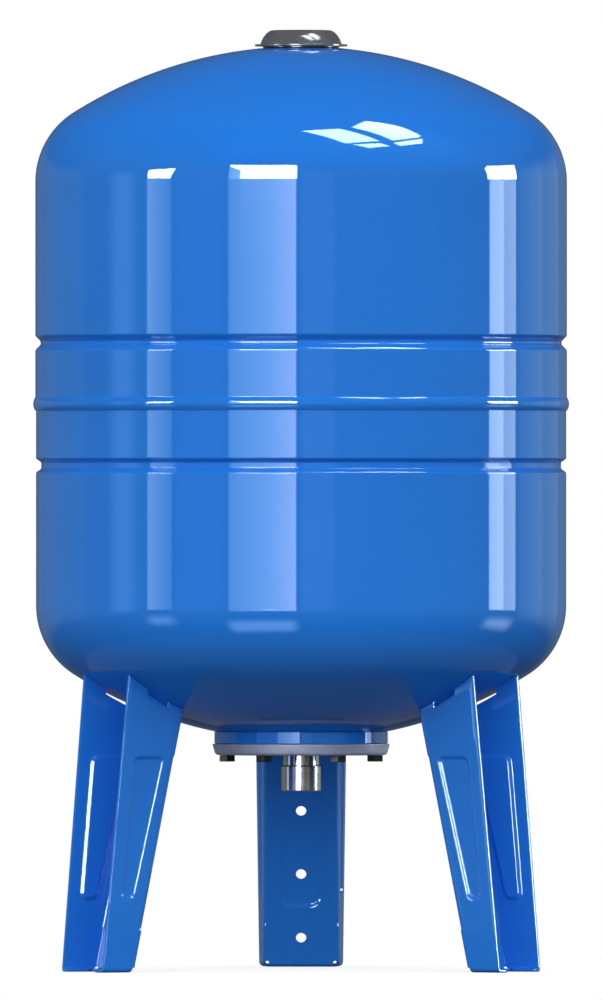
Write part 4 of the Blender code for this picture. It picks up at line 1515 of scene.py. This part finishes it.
    def flange_columns(self, z: Array) -> Array:
        """Return the flange's grid lines at given heights, as distances from the fold's corner.

        Near each long side of the panel the lines keep a fixed distance from it; between them
        they share the room evenly. High up the two sides move over to the notch's ends.

        Args:
            z: Heights.

        Returns:
            One row of distances for each height, the first where the bend ends.
        """
        low, high, _ = self.flange_panel
        held = np.clip(z, low - self.panel_margin, high + self.panel_margin)
        rise = eased(z, high + self.notch_turn[0], high + self.notch_turn[1])
        inner = self.side(held, 0) * (1.0 - rise) + self.at_radius(z, self.notch_inner) * rise
        outer = self.side(held, 1) * (1.0 - rise) + self.at_radius(z, self.notch_outer) * rise
        near = self.press_lines()
        start, end = self.fold(z)[:, None], self.width(z)[:, None]
        first = inner[:, None] + near
        last = outer[:, None] - near[::-1]
        middle = first[:, -1:] + (last[:, :1] - first[:, -1:]) * np.array([0.2, 0.4, 0.6, 0.8])
        lead = start + (first[:, :1] - start) * np.array([0.0, 0.5])
        tail = last[:, -1:] + (end - last[:, -1:]) * np.array([0.25, 0.5, 0.75, 1.0])
        return np.concatenate([lead, first, middle, last, tail], 1)

    @property
    def notch_columns(self) -> tuple[int, int]:
        """Return the half grid's columns at the notch's two ends.

        Returns:
            The notch's first column, and the one after its last.
        """
        near = len(self.press_lines())
        first = len(self.web_columns()) + self.bend_columns + 2
        return first + 4, first + near + 4 + near - 5

    def normals(self, facing: Array) -> Array:
        """Return unit normals of sheet that leans with the web.

        The level normal (cos a, sin a) gains the height lean times sin a.
        """
        normal = np.stack([np.cos(facing), np.sin(facing), self.web_lean * np.sin(facing)], -1)
        return normal / np.linalg.norm(normal, axis=-1, keepdims=True)

    def skin(self, z: Array) -> Skin:
        """Work out the half skin for a grid of heights.

        The web is the plane y = web(z). The bend is an arc of the fold's radius about a centre
        that touches web and flange, and the flange runs from it at the splay angle.

        Args:
            z: Height of each point, one row of the grid after the other.

        Returns:
            The half skin from the web's middle to the flange's free edge.
        """
        inside = self.web_columns()
        bend_start = len(inside)
        bend_end = bend_start + self.bend_columns + 1
        web_z, bend_z, side_z = z[:, :bend_start], z[:, bend_start:bend_end], z[:, bend_end:]
        level = np.broadcast_to(inside, web_z.shape)
        web = np.stack([level, self.web(web_z), web_z], -1)
        angle = np.linspace(-math.pi / 2.0, -self.splay, self.bend_columns + 1)
        radius = self.bend_radius(bend_z)
        bend = np.stack([self.half_width - self.fold(bend_z) + radius * np.cos(angle),
                         self.web(bend_z) + radius * (1.0 + np.sin(angle)), bend_z], -1)
        width = side_z.shape[1]
        lines = self.flange_columns(side_z.ravel()).reshape(len(z), width, -1)
        own = np.take_along_axis(lines, np.arange(1, width + 1)[None, :, None], 2)[..., 0]
        flange = np.stack([self.half_width + math.sin(self.splay) * own,
                           self.web(side_z) + math.cos(self.splay) * own, side_z], -1)
        points = np.concatenate([web, bend, flange], 1)
        facing = np.concatenate([np.full(bend_start, -math.pi / 2.0), angle,
                                 np.full(width, -self.splay)])
        return Skin(points, np.broadcast_to(self.normals(facing), points.shape),
                    np.concatenate([level, np.full(bend_z.shape, FAR),
                                    np.full(side_z.shape, FAR)], 1),
                    np.concatenate([np.full(web_z.shape, -FAR), np.full(bend_z.shape, -FAR),
                                    own], 1))

    @property
    def half_columns(self) -> int:
        """Return how many grid lines a half has."""
        lines = self.flange_columns(np.array([self.first_top])).shape[1]
        return len(self.web_columns()) + self.bend_columns + lines

    def pressed(self, skin: Skin) -> tuple[Array, Array]:
        """Return how far the outer and the inner skin are pressed in, as shares of the depth.

        With q the distances beyond a panel corner's centre, along and across, the signed
        distance to the rounded outline, positive inside, is the corner's radius less the
        length of q's positive part and less q's larger part where both are negative. Each
        wall is half a cosine wave over that distance, wider on the inner skin.

        Args:
            skin: The half skin before pressing.

        Returns:
            The shares at each grid point.
        """
        z = skin.points[..., 2]
        half, low, high, corner = self.web_panel
        slope = math.hypot(1.0, self.web_lean)
        near = self._inside(np.abs(skin.across) - half + corner,
                            np.maximum(low - z, z - high) * slope + corner, corner)
        low, high, corner = self.flange_panel
        skews = [float(self.side(np.array(1.0), k) - self.side(np.array(0.0), k))
                 - self.web_lean * math.cos(self.splay) for k in (0, 1)]
        left = (self.side(z, 0) - skin.along) / math.hypot(1.0, skews[0])
        right = (skin.along - self.side(z, 1)) / math.hypot(1.0, skews[1])
        on_flange = self._inside(np.maximum(left, right) + corner,
                                 np.maximum(low - z, z - high) + corner, corner)
        near = np.where(skin.along > -FAR, on_flange, near)
        return eased(near, *self.outer_press), eased(near, *self.inner_press)

    @staticmethod
    def _inside(across: Array, along: Array, corner: float) -> Array:
        """Return the signed distance to a rounded outline from the distances past its centres."""
        beyond = np.hypot(np.maximum(across, 0.0), np.maximum(along, 0.0))
        return corner - beyond - np.minimum(np.maximum(across, along), 0.0)

    def top(self) -> Array:
        """Return the height of each grid line's trimmed end, just under the dome.

        The height solves z = dome(r) - gap by repeated substitution, r being the smaller of
        the distances of the sheet's two faces from the tank's axis.

        Returns:
            One row with a height for each grid line.
        """
        z = np.full((1, self.half_columns), self.first_top)
        for _ in range(self.top_rounds):
            skin = self.skin(z)
            inner = skin.points - skin.normals * self.sheet
            radius = np.minimum(np.hypot(skin.points[..., 0], skin.points[..., 1]),
                                np.hypot(inner[..., 0], inner[..., 1]))
            z = 0.5 * z + 0.5 * (self.shells.under(radius) - SEAT_GAP)
        return z

    def heights(self) -> Array:
        """Return the grid's heights above the foot's bends, dense where a form changes.

        Returns:
            One row of the grid after the other.
        """
        half = self.bend_change / 2.0
        level = np.concatenate([
            [5.2, 7.0, 10.0, 14.0, 18.5, 23.0, 27.5, 31.5],
            np.linspace(self.wide_from - half, self.wide_from + half, 7), [40.0, 43.5],
            np.arange(47.0, 69.0, 0.75), np.linspace(72.0, 169.0, 25),
            np.arange(172.0, 193.5, 0.75)])
        rows = np.repeat(level[:, None], self.half_columns, 1)
        top = self.top()
        notch = top - self.notch_depth
        share = np.linspace(0.0, 1.0, 9)[1:, None]
        reach = rows[-1:] + (notch - rows[-1:]) * share
        crest = notch + (top - notch) * np.linspace(0.0, 1.0, 4)[1:, None]
        foot = np.where(np.arange(self.half_columns) < len(self.web_columns()),
                        self.foot_path(math.atan(self.web_lean))[0][0, 1],
                        self.foot_path(self.flange_lean)[0][0, 1])
        return np.concatenate([foot[None], rows, reach, crest])

    @property
    def flange_lean(self) -> float:
        """Return the angle by which a flange leans out of the vertical."""
        return math.atan(self.web_lean * math.sin(self.splay))

    def foot_path(self, lean: float) -> tuple[Array, Array]:
        """Return a lip's outline round its bend to its end.

        Args:
            lean: The angle by which the wall above leans back.

        Returns:
            Distance inward from the wall's foot and height of each point, and its normals.
        """
        tangent = self.foot_bend * math.tan((math.pi / 2.0 - lean) / 2.0)
        start, end, count = math.pi + lean, 1.5 * math.pi, self.foot_points
        angles = np.linspace(start, end, count)
        bend = arc((tangent, self.foot_bend), self.foot_bend, start, end, count)
        level = np.linspace(tangent, self.lip, self.lip_points + 1)[1:]
        path = np.concatenate([bend, np.stack([level, np.zeros(self.lip_points)], -1)])
        turned = np.concatenate([angles, np.full(self.lip_points, end)])
        return path, np.stack([np.cos(turned), np.sin(turned)], -1)

    def lips(self, bottom: Skin) -> tuple[Array, Array]:
        """Work out the foot's lips: each grid line carried on round its bend to the lip's end.

        The web's lines keep their share of the lip's half width, and the flange's lines their
        share of its length; past the bend both lips narrow at 45 degrees for the mitre.

        Args:
            bottom: The wall's lowest row.

        Returns:
            Points and normals, from the lips' ends up to just below the lowest row.
        """
        last = self.foot_points - 1
        path, normal = self.foot_path(math.atan(self.web_lean))
        cut = np.maximum(path[:, :1] - path[last, 0], 0.0)
        across = self.web_columns() * (1.0 - cut / self.web_lip_half)
        web = np.stack([across, np.broadcast_to(self.web_foot + path[:, :1], across.shape),
                        np.broadcast_to(path[:, 1:], across.shape)], -1)
        web_normal = np.stack([np.zeros(len(path)), normal[:, 0], normal[:, 1]], -1)

        first = len(self.web_columns()) + self.bend_columns
        path, normal = self.foot_path(self.flange_lean)
        out = np.array([math.sin(self.splay), math.cos(self.splay), 0.0])
        inward = np.array([-math.cos(self.splay), math.sin(self.splay), 0.0])
        corner = np.array([self.half_width, self.web_foot, 0.0])
        along = (bottom.points[0, first:] - corner) @ out
        share = (along - along[0]) / (along[-1] - along[0])
        settle_in = np.clip(np.arange(len(path)) / last, 0.0, 1.0)[:, None]
        cut = np.maximum(path[:, :1] - path[last, 0], 0.0)
        start = along[0] + (self.flange_lip_start - along[0]) * settle_in + cut
        full = (self.edge_foot - self.web_foot) / math.cos(self.splay)
        end = along[-1] + (full - along[-1]) * settle_in
        reach = (start + (end - start) * share)[..., None] * out
        flange = (corner + reach + path[:, :1, None] * inward
                  + path[:, 1:, None] * np.array([0.0, 0.0, 1.0]))
        flange_normal = normal[:, :1] * inward + normal[:, 1:] * np.array([0.0, 0.0, 1.0])

        count = len(path)
        gap = np.broadcast_to(bottom.points[0, web.shape[1]:first],
                              (count, first - web.shape[1], 3))
        points = np.concatenate([web, gap, flange], 1)
        normals = np.concatenate([
            np.broadcast_to(web_normal[:, None], web.shape),
            np.broadcast_to(bottom.normals[0, web.shape[1]:first], gap.shape),
            np.broadcast_to(flange_normal[:, None], flange.shape)], 1)
        return points[:0:-1], normals[:0:-1]

    def patch(self) -> Patch:
        """Return the whole leg, as two skins joined by walls wherever the sheet ends.

        The outer skin is the half skin less the pressed depth along its normals, the inner
        skin lies a sheet's thickness deeper, and both are mirrored to the other side.

        Returns:
            The closed leg, not yet drilled.
        """
        skin = self.skin(self.heights())
        outer_share, inner_share = self.pressed(skin)
        lip_points, lip_normals = self.lips(Skin(skin.points[:1], skin.normals[:1],
                                                 skin.across[:1], skin.along[:1]))
        outer = skin.points - skin.normals * (self.press * outer_share)[..., None]
        inner = skin.points - skin.normals * (self.sheet + self.press * inner_share)[..., None]
        outer = np.concatenate([lip_points, outer])
        inner = np.concatenate([lip_points - lip_normals * self.sheet, inner])

        rows, columns = outer.shape[0] - 1, outer.shape[1] - 1
        kept = np.ones((rows, columns), bool)
        web_end = len(self.web_columns()) - 1
        kept[:len(lip_points), web_end:web_end + self.bend_columns + 1] = False
        notch = self.notch_columns
        kept[-3:, notch[0]:notch[1]] = False
        mirror = np.array([-1.0, 1.0, 1.0])
        outer = np.concatenate([(outer * mirror)[:, :0:-1], outer], 1)
        inner = np.concatenate([(inner * mirror)[:, :0:-1], inner], 1)
        kept = np.concatenate([kept[:, ::-1], kept], 1)
        return self._closed(outer, inner, kept)

    @staticmethod
    def _closed(outer: Array, inner: Array, kept: Array) -> Patch:
        """Join two skins over the kept cells, with a wall where the next cell is missing.

        Args:
            outer: Grid of the outer skin's points.
            inner: Grid of the inner skin's points.
            kept: Whether each cell of the grid is sheet.

        Returns:
            The closed sheet.
        """
        rows, columns = outer.shape[:2]
        number = np.arange(rows * columns).reshape(rows, columns)
        a, b = number[:-1, :-1], number[:-1, 1:]
        c, d = number[1:, 1:], number[1:, :-1]
        depth = rows * columns
        framed = np.pad(kept, 1)
        faces = [np.stack([a, b, c, d], -1)[kept],
                 np.stack([a, d, c, b], -1)[kept] + depth]
        sides = ((b, a, framed[:-2, 1:-1]), (d, c, framed[2:, 1:-1]),
                 (a, d, framed[1:-1, :-2]), (c, b, framed[1:-1, 2:]))
        for first, second, neighbour in sides:
            wall = np.stack([first, second, second + depth, first + depth], -1)
            faces.append(wall[kept & ~neighbour])
        points = np.concatenate([outer.reshape(-1, 3), inner.reshape(-1, 3)])
        return Patch(points, np.concatenate(faces), np.zeros((0, 3), int)).compact()

    def rods(self) -> Patch:
        """Return the rods that cut the fixing holes and the foot's reliefs, square to the web.

        Returns:
            The rods as one patch.
        """
        spots = [(self.hole_radius, 0.0, height, self.hole_reach) for height in self.hole_heights]
        spots += [(self.relief_radius, side * self.relief_across, self.relief_height,
                   self.relief_reach) for side in (-1, 1)]
        slope = math.hypot(1.0, self.web_lean)
        axes = np.array([[1.0, 0.0, 0.0],
                         [0.0, -self.web_lean / slope, 1.0 / slope],
                         [0.0, -1.0 / slope, -self.web_lean / slope]])
        rods = []
        for radius, across, height, reach in spots:
            rod = revolved(np.array([[0.0, -reach], [radius, -reach], [radius, reach],
                                     [0.0, reach]]), self.rod_segments, False)
            centre = np.array([across, self.web_foot - self.web_lean * height, height])
            rods.append(Patch(rod.points @ axes + centre, rod.quads, rod.triangles).outward())
        return joined(rods)

    def build(self, finishes: Finishes) -> None:
        """Build the leg once, turn it into the three places and dress it.

        Args:
            finishes: The tank's materials.
        """
        first = finishes.piece("pressed_leg_rear", self.patch(), Slot.BLUE_PAINT)
        bevel = first.modifiers.new("rolled_edges", "BEVEL")
        bevel.width = self.edge_radius * MM
        bevel.segments = 2
        bevel.limit_method = "ANGLE"
        bevel.angle_limit = self.edge_sharp
        bevel.use_clamp_overlap = False
        settle(first)
        drilled(first, self.rods())
        first.data.shade_smooth()
        first.data.set_sharp_from_angle(angle=math.radians(SHARP_ANGLE))
        seat(first, ["leg_rear"])
        for side, turn in (("left_front", 120.0), ("right_front", -120.0)):
            mesh = first.data.copy()
            mesh.name = f"pressed_leg_{side}"
            mesh.transform(Matrix.Rotation(math.radians(turn), 4, "Z"))
            seat(placed(mesh.name, mesh), [f"leg_{side}"])


# Floor, light and camera


@dataclass(frozen=True)
class Softbox:
    """A lit panel of the studio, as spans of azimuth and elevation in degrees.

    The azimuth is nought towards the camera and grows towards +X. The light runs from the left
    colour to the right one, and the panel ends softly over its edge and its fade.
    """

    azimuth: tuple[float, float]
    elevation: tuple[float, float]
    left: Colour
    right: Colour
    edge: float = 0.4
    fade: float = 0.3


@dataclass(frozen=True)
class RoomLight:
    """The room's soft light as a level by direction, and its lowest level by the side.

    The level is steady + front f + across (f f - x x) + up z + dome z z + rake z f + side x,
    where x points to +X, f towards the camera and z up. The lowest level is floor + tilt x.
    """

    steady: float = 1.701
    front: float = 0.559
    across: float = 0.588
    up: float = -0.564
    dome: float = -0.52
    rake: float = -0.158
    side: float = 0.033
    floor: float = 0.12
    tilt: float = -0.08

    def level(self, graph: Graph, x: Socket, front: Socket,
              z: Socket) -> Socket:
        """Return the level: the formula over the horizon, and never less than the lowest.

        Args:
            graph: The world's graph.
            x: The direction's part along +X.
            front: Its part towards the camera.
            z: Its part upwards.

        Returns:
            The light's level.
        """
        spread = graph.math("SUBTRACT", graph.math("MULTIPLY", front, front),
                            graph.math("MULTIPLY", x, x))
        terms = ((spread, self.across), (z, self.up), (graph.math("MULTIPLY", z, z), self.dome),
                 (graph.math("MULTIPLY", z, front), self.rake), (x, self.side))
        total = graph.math("MULTIPLY_ADD", front, self.front, self.steady)
        for part, weight in terms:
            total = graph.math("MULTIPLY_ADD", part, weight, total)
        above = graph.math("GREATER_THAN", z, 0.0)
        low = graph.math("MULTIPLY_ADD", x, self.tilt, self.floor)
        return graph.math("MAXIMUM", graph.math("MULTIPLY", total, above), low)


@dataclass(frozen=True)
class Studio:
    """A pale floor and a room of soft light, with bright panels that gloss alone shows.

    Attributes:
        room_start: Parts towards the camera where the dark behind ends and the room starts.
        ceiling_start: Elevations where the ceiling starts and is full.
        ground_start: Elevations where the ground starts and is full.
        caps: Corners of the panes at the softboxes' upper ends, as azimuth and elevation.
        panes: Corners of the window's panes on a level plane overhead.
    """

    floor_radius: float = 550.0
    floor_white: Colour = (0.40, 0.40, 0.40)
    floor_gloss: Colour = (0.15, 0.17, 0.19)
    floor_left: Colour = (0.17, 0.17, 0.17)
    floor_right: Colour = (0.07, 0.07, 0.07)
    floor_turn: float = 0.35
    floor_corners: int = 256
    floor_roughness: float = 0.9
    floor_glow: float = 0.68
    room: Colour = (0.28, 0.31, 0.16)
    ceiling: Colour = (0.05, 0.05, 0.06)
    ground: Colour = (0.05, 0.06, 0.08)
    behind: Colour = (0.06, 0.09, 0.14)
    room_start: tuple[float, float] = (-0.75, -0.05)
    ceiling_start: tuple[float, float] = (14.0, 45.0)
    ground_start: tuple[float, float] = (-2.0, -25.0)
    room_light: RoomLight = RoomLight()
    softboxes: tuple[Softbox, ...] = (
        Softbox((-45.0, 88.0), (17.0, 60.0), (0.08, 0.22, 1.0), (0.24, 0.62, 1.0), 14.0, 14.0),
        Softbox((-170.0, -151.0), (-10.0, 8.0), (0.10, 0.14, 0.15), (0.20, 0.23, 0.18), 5.0, 3.5),
        Softbox((-151.0, -107.0), (-10.0, 8.0), (0.21, 0.22, 0.15), (0.34, 0.45, 0.40), 5.0, 3.5),
        Softbox((-90.0, -77.5), (-6.0, 7.0), (1.0, 1.6, 2.3), (1.0, 1.6, 2.3), 4.5, 4.0),
        Softbox((-56.0, -34.0), (-6.0, 12.0), (0.45, 0.55, 1.2), (0.40, 0.48, 1.2), 3.0, 5.0),
        Softbox((0.5, 14.5), (-6.0, 10.0), (0.75, 0.80, 1.1), (0.66, 0.80, 0.9), 1.5, 3.0),
        Softbox((109.0, 132.0), (-9.0, 9.0), (0.55, 0.72, 0.72), (0.78, 0.98, 0.85), 4.0, 6.0),
        Softbox((130.0, 152.0), (-9.0, 9.0), (0.48, 0.66, 0.48), (0.38, 0.46, 0.44), 3.0, 6.0),
        Softbox((152.0, 175.0), (-9.0, 9.0), (0.24, 0.30, 0.28), (0.10, 0.11, 0.10), 3.0, 6.0),
        Softbox((-70.5, -58.2), (-4.3, 1.6), (4.1, 4.7, 4.6), (1.3, 2.1, 2.6), 0.9, 0.9),
        Softbox((-31.6, -13.2), (-6.7, 1.6), (2.4, 3.6, 4.0), (5.0, 5.9, 7.0), 0.9),
        Softbox((-14.0, -2.2), (-6.7, 1.6), (5.0, 5.9, 7.0), (9.0, 8.6, 9.2), 0.5),
        Softbox((-16.5, -11.0), (-5.4, -4.0), (10.0, 12.0, 14.0), (10.0, 12.0, 14.0), 0.8, 0.6),
        Softbox((90.0, 100.0), (-3.8, 2.4), (7.9, 8.7, 9.4), (9.0, 9.3, 9.6), 0.7, 0.9),
        Softbox((99.0, 107.4), (-3.8, 2.4), (5.0, 5.1, 5.2), (4.7, 5.2, 5.4), 0.7, 0.9),
        Softbox((-71.5, -58.5), (-21.5, -12.5), (2.6, 3.6, 4.6), (2.0, 3.0, 4.2), 4.0, 5.0),
        Softbox((-33.0, -2.5), (-34.5, -20.5), (2.8, 4.3, 5.6), (3.2, 4.6, 5.8), 3.2, 5.5),
        Softbox((90.5, 107.0), (-20.5, -12.0), (3.4, 4.2, 4.8), (3.2, 3.8, 4.2), 4.0, 5.0),
        Softbox((-31.6, -26.0), (1.2, 17.5), (4.2, 6.0, 7.6), (8.0, 9.5, 10.5), 0.5),
    )
    caps: tuple[tuple[tuple[float, float], ...], ...] = (
        ((-70.2, 1.9), (-58.7, 1.9), (-57.0, 13.8), (-70.4, 11.2)),
        ((-26.4, 1.0), (-1.8, 1.0), (-1.8, 19.5), (-26.4, 19.3)),
        ((-31.7, 17.0), (-26.0, 11.5), (-26.0, 19.3), (-31.7, 19.0)),
        ((88.9, 1.5), (107.8, 1.5), (108.6, 12.6), (90.6, 13.8), (88.6, 12.0)),
    )
    panes: tuple[tuple[tuple[float, float], ...], ...] = (
        ((0.003, 0.338), (0.199, 0.236), (0.582, 0.545), (0.351, 0.745)),
        ((0.429, 0.773), (0.633, 0.625), (0.777, 0.693), (0.630, 0.886)),
        ((0.252, 0.166), (0.268, -0.072), (0.440, -0.030), (0.760, 0.160), (0.775, 0.233),
         (0.670, 0.465)),
        ((0.722, 0.543), (0.835, 0.233), (0.958, 0.373), (0.867, 0.630)),
    )
    cap_light: Colour = (42.0, 42.0, 40.0)
    cap_edge: float = 0.4
    pane_light: Colour = (26.0, 28.5, 27.5)
    pane_edge: float = 0.012
    lowest_pane: float = 0.001
    lens: float = 1030.0
    sensor: float = 36.0
    sight: float = 80.0
    stand: tuple[float, float, float] = (-0.0001, -24.25, 0.3985)

    def floor(self) -> None:
        """Build the floor: a disc that is white to the camera and dim in the tank's gloss."""
        material, graph, shader = new_material("pale_floor")
        path = graph.node("ShaderNodeLightPath").outputs
        seen = graph.math("MAXIMUM", path["Is Camera Ray"], path["Is Transmission Ray"])
        across = graph.node("ShaderNodeSeparateXYZ", {0: graph.place()}).outputs["X"]
        dim = graph.mix(graph.ramp(across, -self.floor_turn, self.floor_turn), self.floor_left,
                        self.floor_right)
        colour = graph.mix(path["Is Glossy Ray"], dim, self.floor_gloss)
        colour = graph.mix(seen, colour, self.floor_white)
        glow = graph.math("MULTIPLY", seen, self.floor_glow)
        for name, value in (("Base Color", colour), ("Emission Strength", glow),
                            ("Emission Color", WHITE), ("Roughness", self.floor_roughness),
                            ("Specular IOR Level", 0.0)):
            graph.feed(shader.inputs[name], value)
        count = self.floor_corners
        angles = np.arange(count) * (2.0 * np.pi / count)
        rim = np.stack([np.cos(angles), np.sin(angles), np.zeros(count)], -1) * self.floor_radius
        mesh = bpy.data.meshes.new("floor")
        mesh.from_pydata((rim * MM).tolist(), [], [list(range(count))])
        mesh.materials.append(material)
        placed("floor", mesh)

    @staticmethod
    def _panel_group() -> NodeTree:
        """Return a panel between two azimuths and two elevations.

        It puts out the mask, which is the product of a soft step at each side, and the share
        of the way from the left side to the right one.

        Returns:
            The group.
        """
        names = ["Azimuth", "Elevation", "Left", "Right", "Low", "High", "Edge", "Fade"]
        tree, graph, source, sink = new_group("softbox_panel", dict.fromkeys(names, 0.0),
                                              ["Mask", "Across"])
        def step(value: str, limit: str, softness: str) -> Socket:
            """Return a soft step where a value passes a limit.

            Args:
                value: The input that is tested.
                limit: The input with the limit.
                softness: The input with half the step's width.

            Returns:
                The step, from 0 to 1.
            """
            low = graph.math("SUBTRACT", source[limit], source[softness])
            high = graph.math("ADD", source[limit], source[softness])
            return graph.ramp(source[value], low, high)

        across = graph.math("SUBTRACT", step("Azimuth", "Left", "Edge"),
                            step("Azimuth", "Right", "Edge"))
        up = graph.math("SUBTRACT", step("Elevation", "Low", "Fade"),
                        step("Elevation", "High", "Fade"))
        graph.feed(sink.inputs["Mask"], graph.math("MULTIPLY", across, up))
        share = graph.node("ShaderNodeMapRange", {0: source["Azimuth"], 1: source["Left"],
                                                  2: source["Right"]}).outputs[0]
        graph.feed(sink.inputs["Across"], share)
        return tree

    @staticmethod
    def _pane(graph: Graph, x: Socket, y: Socket,
              corners: tuple[tuple[float, float], ...], edge: float) -> Socket:
        """Return the mask of a flat pane: the product of a soft step over each side.

        Args:
            graph: The world's graph.
            x: The first coordinate.
            y: The second coordinate.
            corners: The pane's corners in those coordinates, in order round it.
            edge: Half the width of the soft step.

        Returns:
            The mask.
        """
        middle = np.mean(corners, 0)
        mask = None
        for (x0, y0), (x1, y1) in zip(corners, corners[1:] + corners[:1]):
            normal = np.array([y0 - y1, x1 - x0])
            normal *= np.sign(normal @ (middle - (x0, y0))) / np.linalg.norm(normal)
            reach = graph.math("MULTIPLY_ADD", x, float(normal[0]),
                               graph.math("MULTIPLY_ADD", y, float(normal[1]),
                                          float(-normal @ (x0, y0))))
            side = graph.ramp(reach, -edge, edge)
            mask = side if mask is None else graph.math("MULTIPLY", mask, side)
        return mask

    def light(self) -> None:
        """Build the world: white to the camera, panels to gloss, soft light to all else."""
        world = bpy.data.worlds.new("studio")
        world.use_nodes = True
        bpy.context.scene.world = world
        tree = world.node_tree
        graph = Graph(tree)
        place = graph.node("ShaderNodeTexCoord").outputs["Generated"]
        parts = graph.node("ShaderNodeSeparateXYZ", {0: place}).outputs
        x, z = parts["X"], parts["Z"]
        front = graph.math("MULTIPLY", parts["Y"], -1.0)
        degree = 180.0 / math.pi
        azimuth = graph.math("MULTIPLY", graph.math("ARCTAN2", x, front), degree)
        elevation = graph.math("MULTIPLY", graph.math("ARCSINE", z), degree)

        gloss = graph.mix(graph.ramp(front, *self.room_start), self.behind, self.room)
        gloss = graph.mix(graph.ramp(elevation, *self.ceiling_start), gloss, self.ceiling)
        gloss = graph.mix(graph.ramp(elevation, *self.ground_start), gloss, self.ground)
        panel = self._panel_group()
        for box in self.softboxes:
            made = graph.group(panel, Azimuth=azimuth, Elevation=elevation, Left=box.azimuth[0],
                              Right=box.azimuth[1], Low=box.elevation[0],
                              High=box.elevation[1], Edge=box.edge, Fade=box.fade).outputs
            light = graph.mix(made["Across"], box.left, box.right)
            gloss = graph.mix(made["Mask"], gloss, light)
        up = graph.math("MAXIMUM", z, self.lowest_pane)
        level = [graph.math("DIVIDE", part, up) for part in (x, front)]
        for corners in self.caps:
            mask = self._pane(graph, azimuth, elevation, corners, self.cap_edge)
            gloss = graph.mix(mask, gloss, self.cap_light)
        for corners in self.panes:
            mask = self._pane(graph, *level, corners, self.pane_edge)
            gloss = graph.mix(mask, gloss, self.pane_light)

        soft = self.room_light.level(graph, x, front, z)
        path = graph.node("ShaderNodeLightPath").outputs
        plain = graph.math("MAXIMUM", path["Is Camera Ray"], path["Is Transmission Ray"])
        glows = [graph.node("ShaderNodeBackground", inputs).outputs[0]
                 for inputs in ({0: WHITE, 1: soft}, {0: gloss}, {0: WHITE})]
        shown = graph.node("ShaderNodeMixShader", {0: path["Is Glossy Ray"], 1: glows[0],
                                                   2: glows[1]}).outputs[0]
        shown = graph.node("ShaderNodeMixShader", {0: plain, 1: shown, 2: glows[2]}).outputs[0]
        tree.nodes.remove(tree.nodes["Background"])
        graph.feed(tree.nodes["World Output"].inputs["Surface"], shown)

    def camera(self) -> None:
        """Set the camera level with the tank's middle, far off, so that it draws almost square."""
        data = bpy.data.cameras.new("camera")
        data.lens = self.lens
        data.sensor_width = self.sensor
        data.clip_end = self.sight
        camera = placed("camera", data)
        camera.location = self.stand
        camera.rotation_euler = (math.pi / 2.0, 0.0, 0.0)
        bpy.context.scene.camera = camera

    def build(self) -> None:
        """Build the floor, the light and the camera."""
        self.floor()
        self.light()
        self.camera()
        bpy.context.scene.view_settings.view_transform = "Standard"


def main() -> None:
    """Build the tank, its stage, its light and its camera."""
    logging.basicConfig(level=logging.INFO, format="%(name)s: %(message)s")
    finishes = Finishes()
    shells = Shells()
    shells.build(finishes)
    WaterConnection(shells).build(finishes)
    ValveCover(shells).build(finishes)
    AirValve().build(finishes)
    Leg(shells).build(finishes)
    Studio().build()


if __name__ == "__main__":
    main()
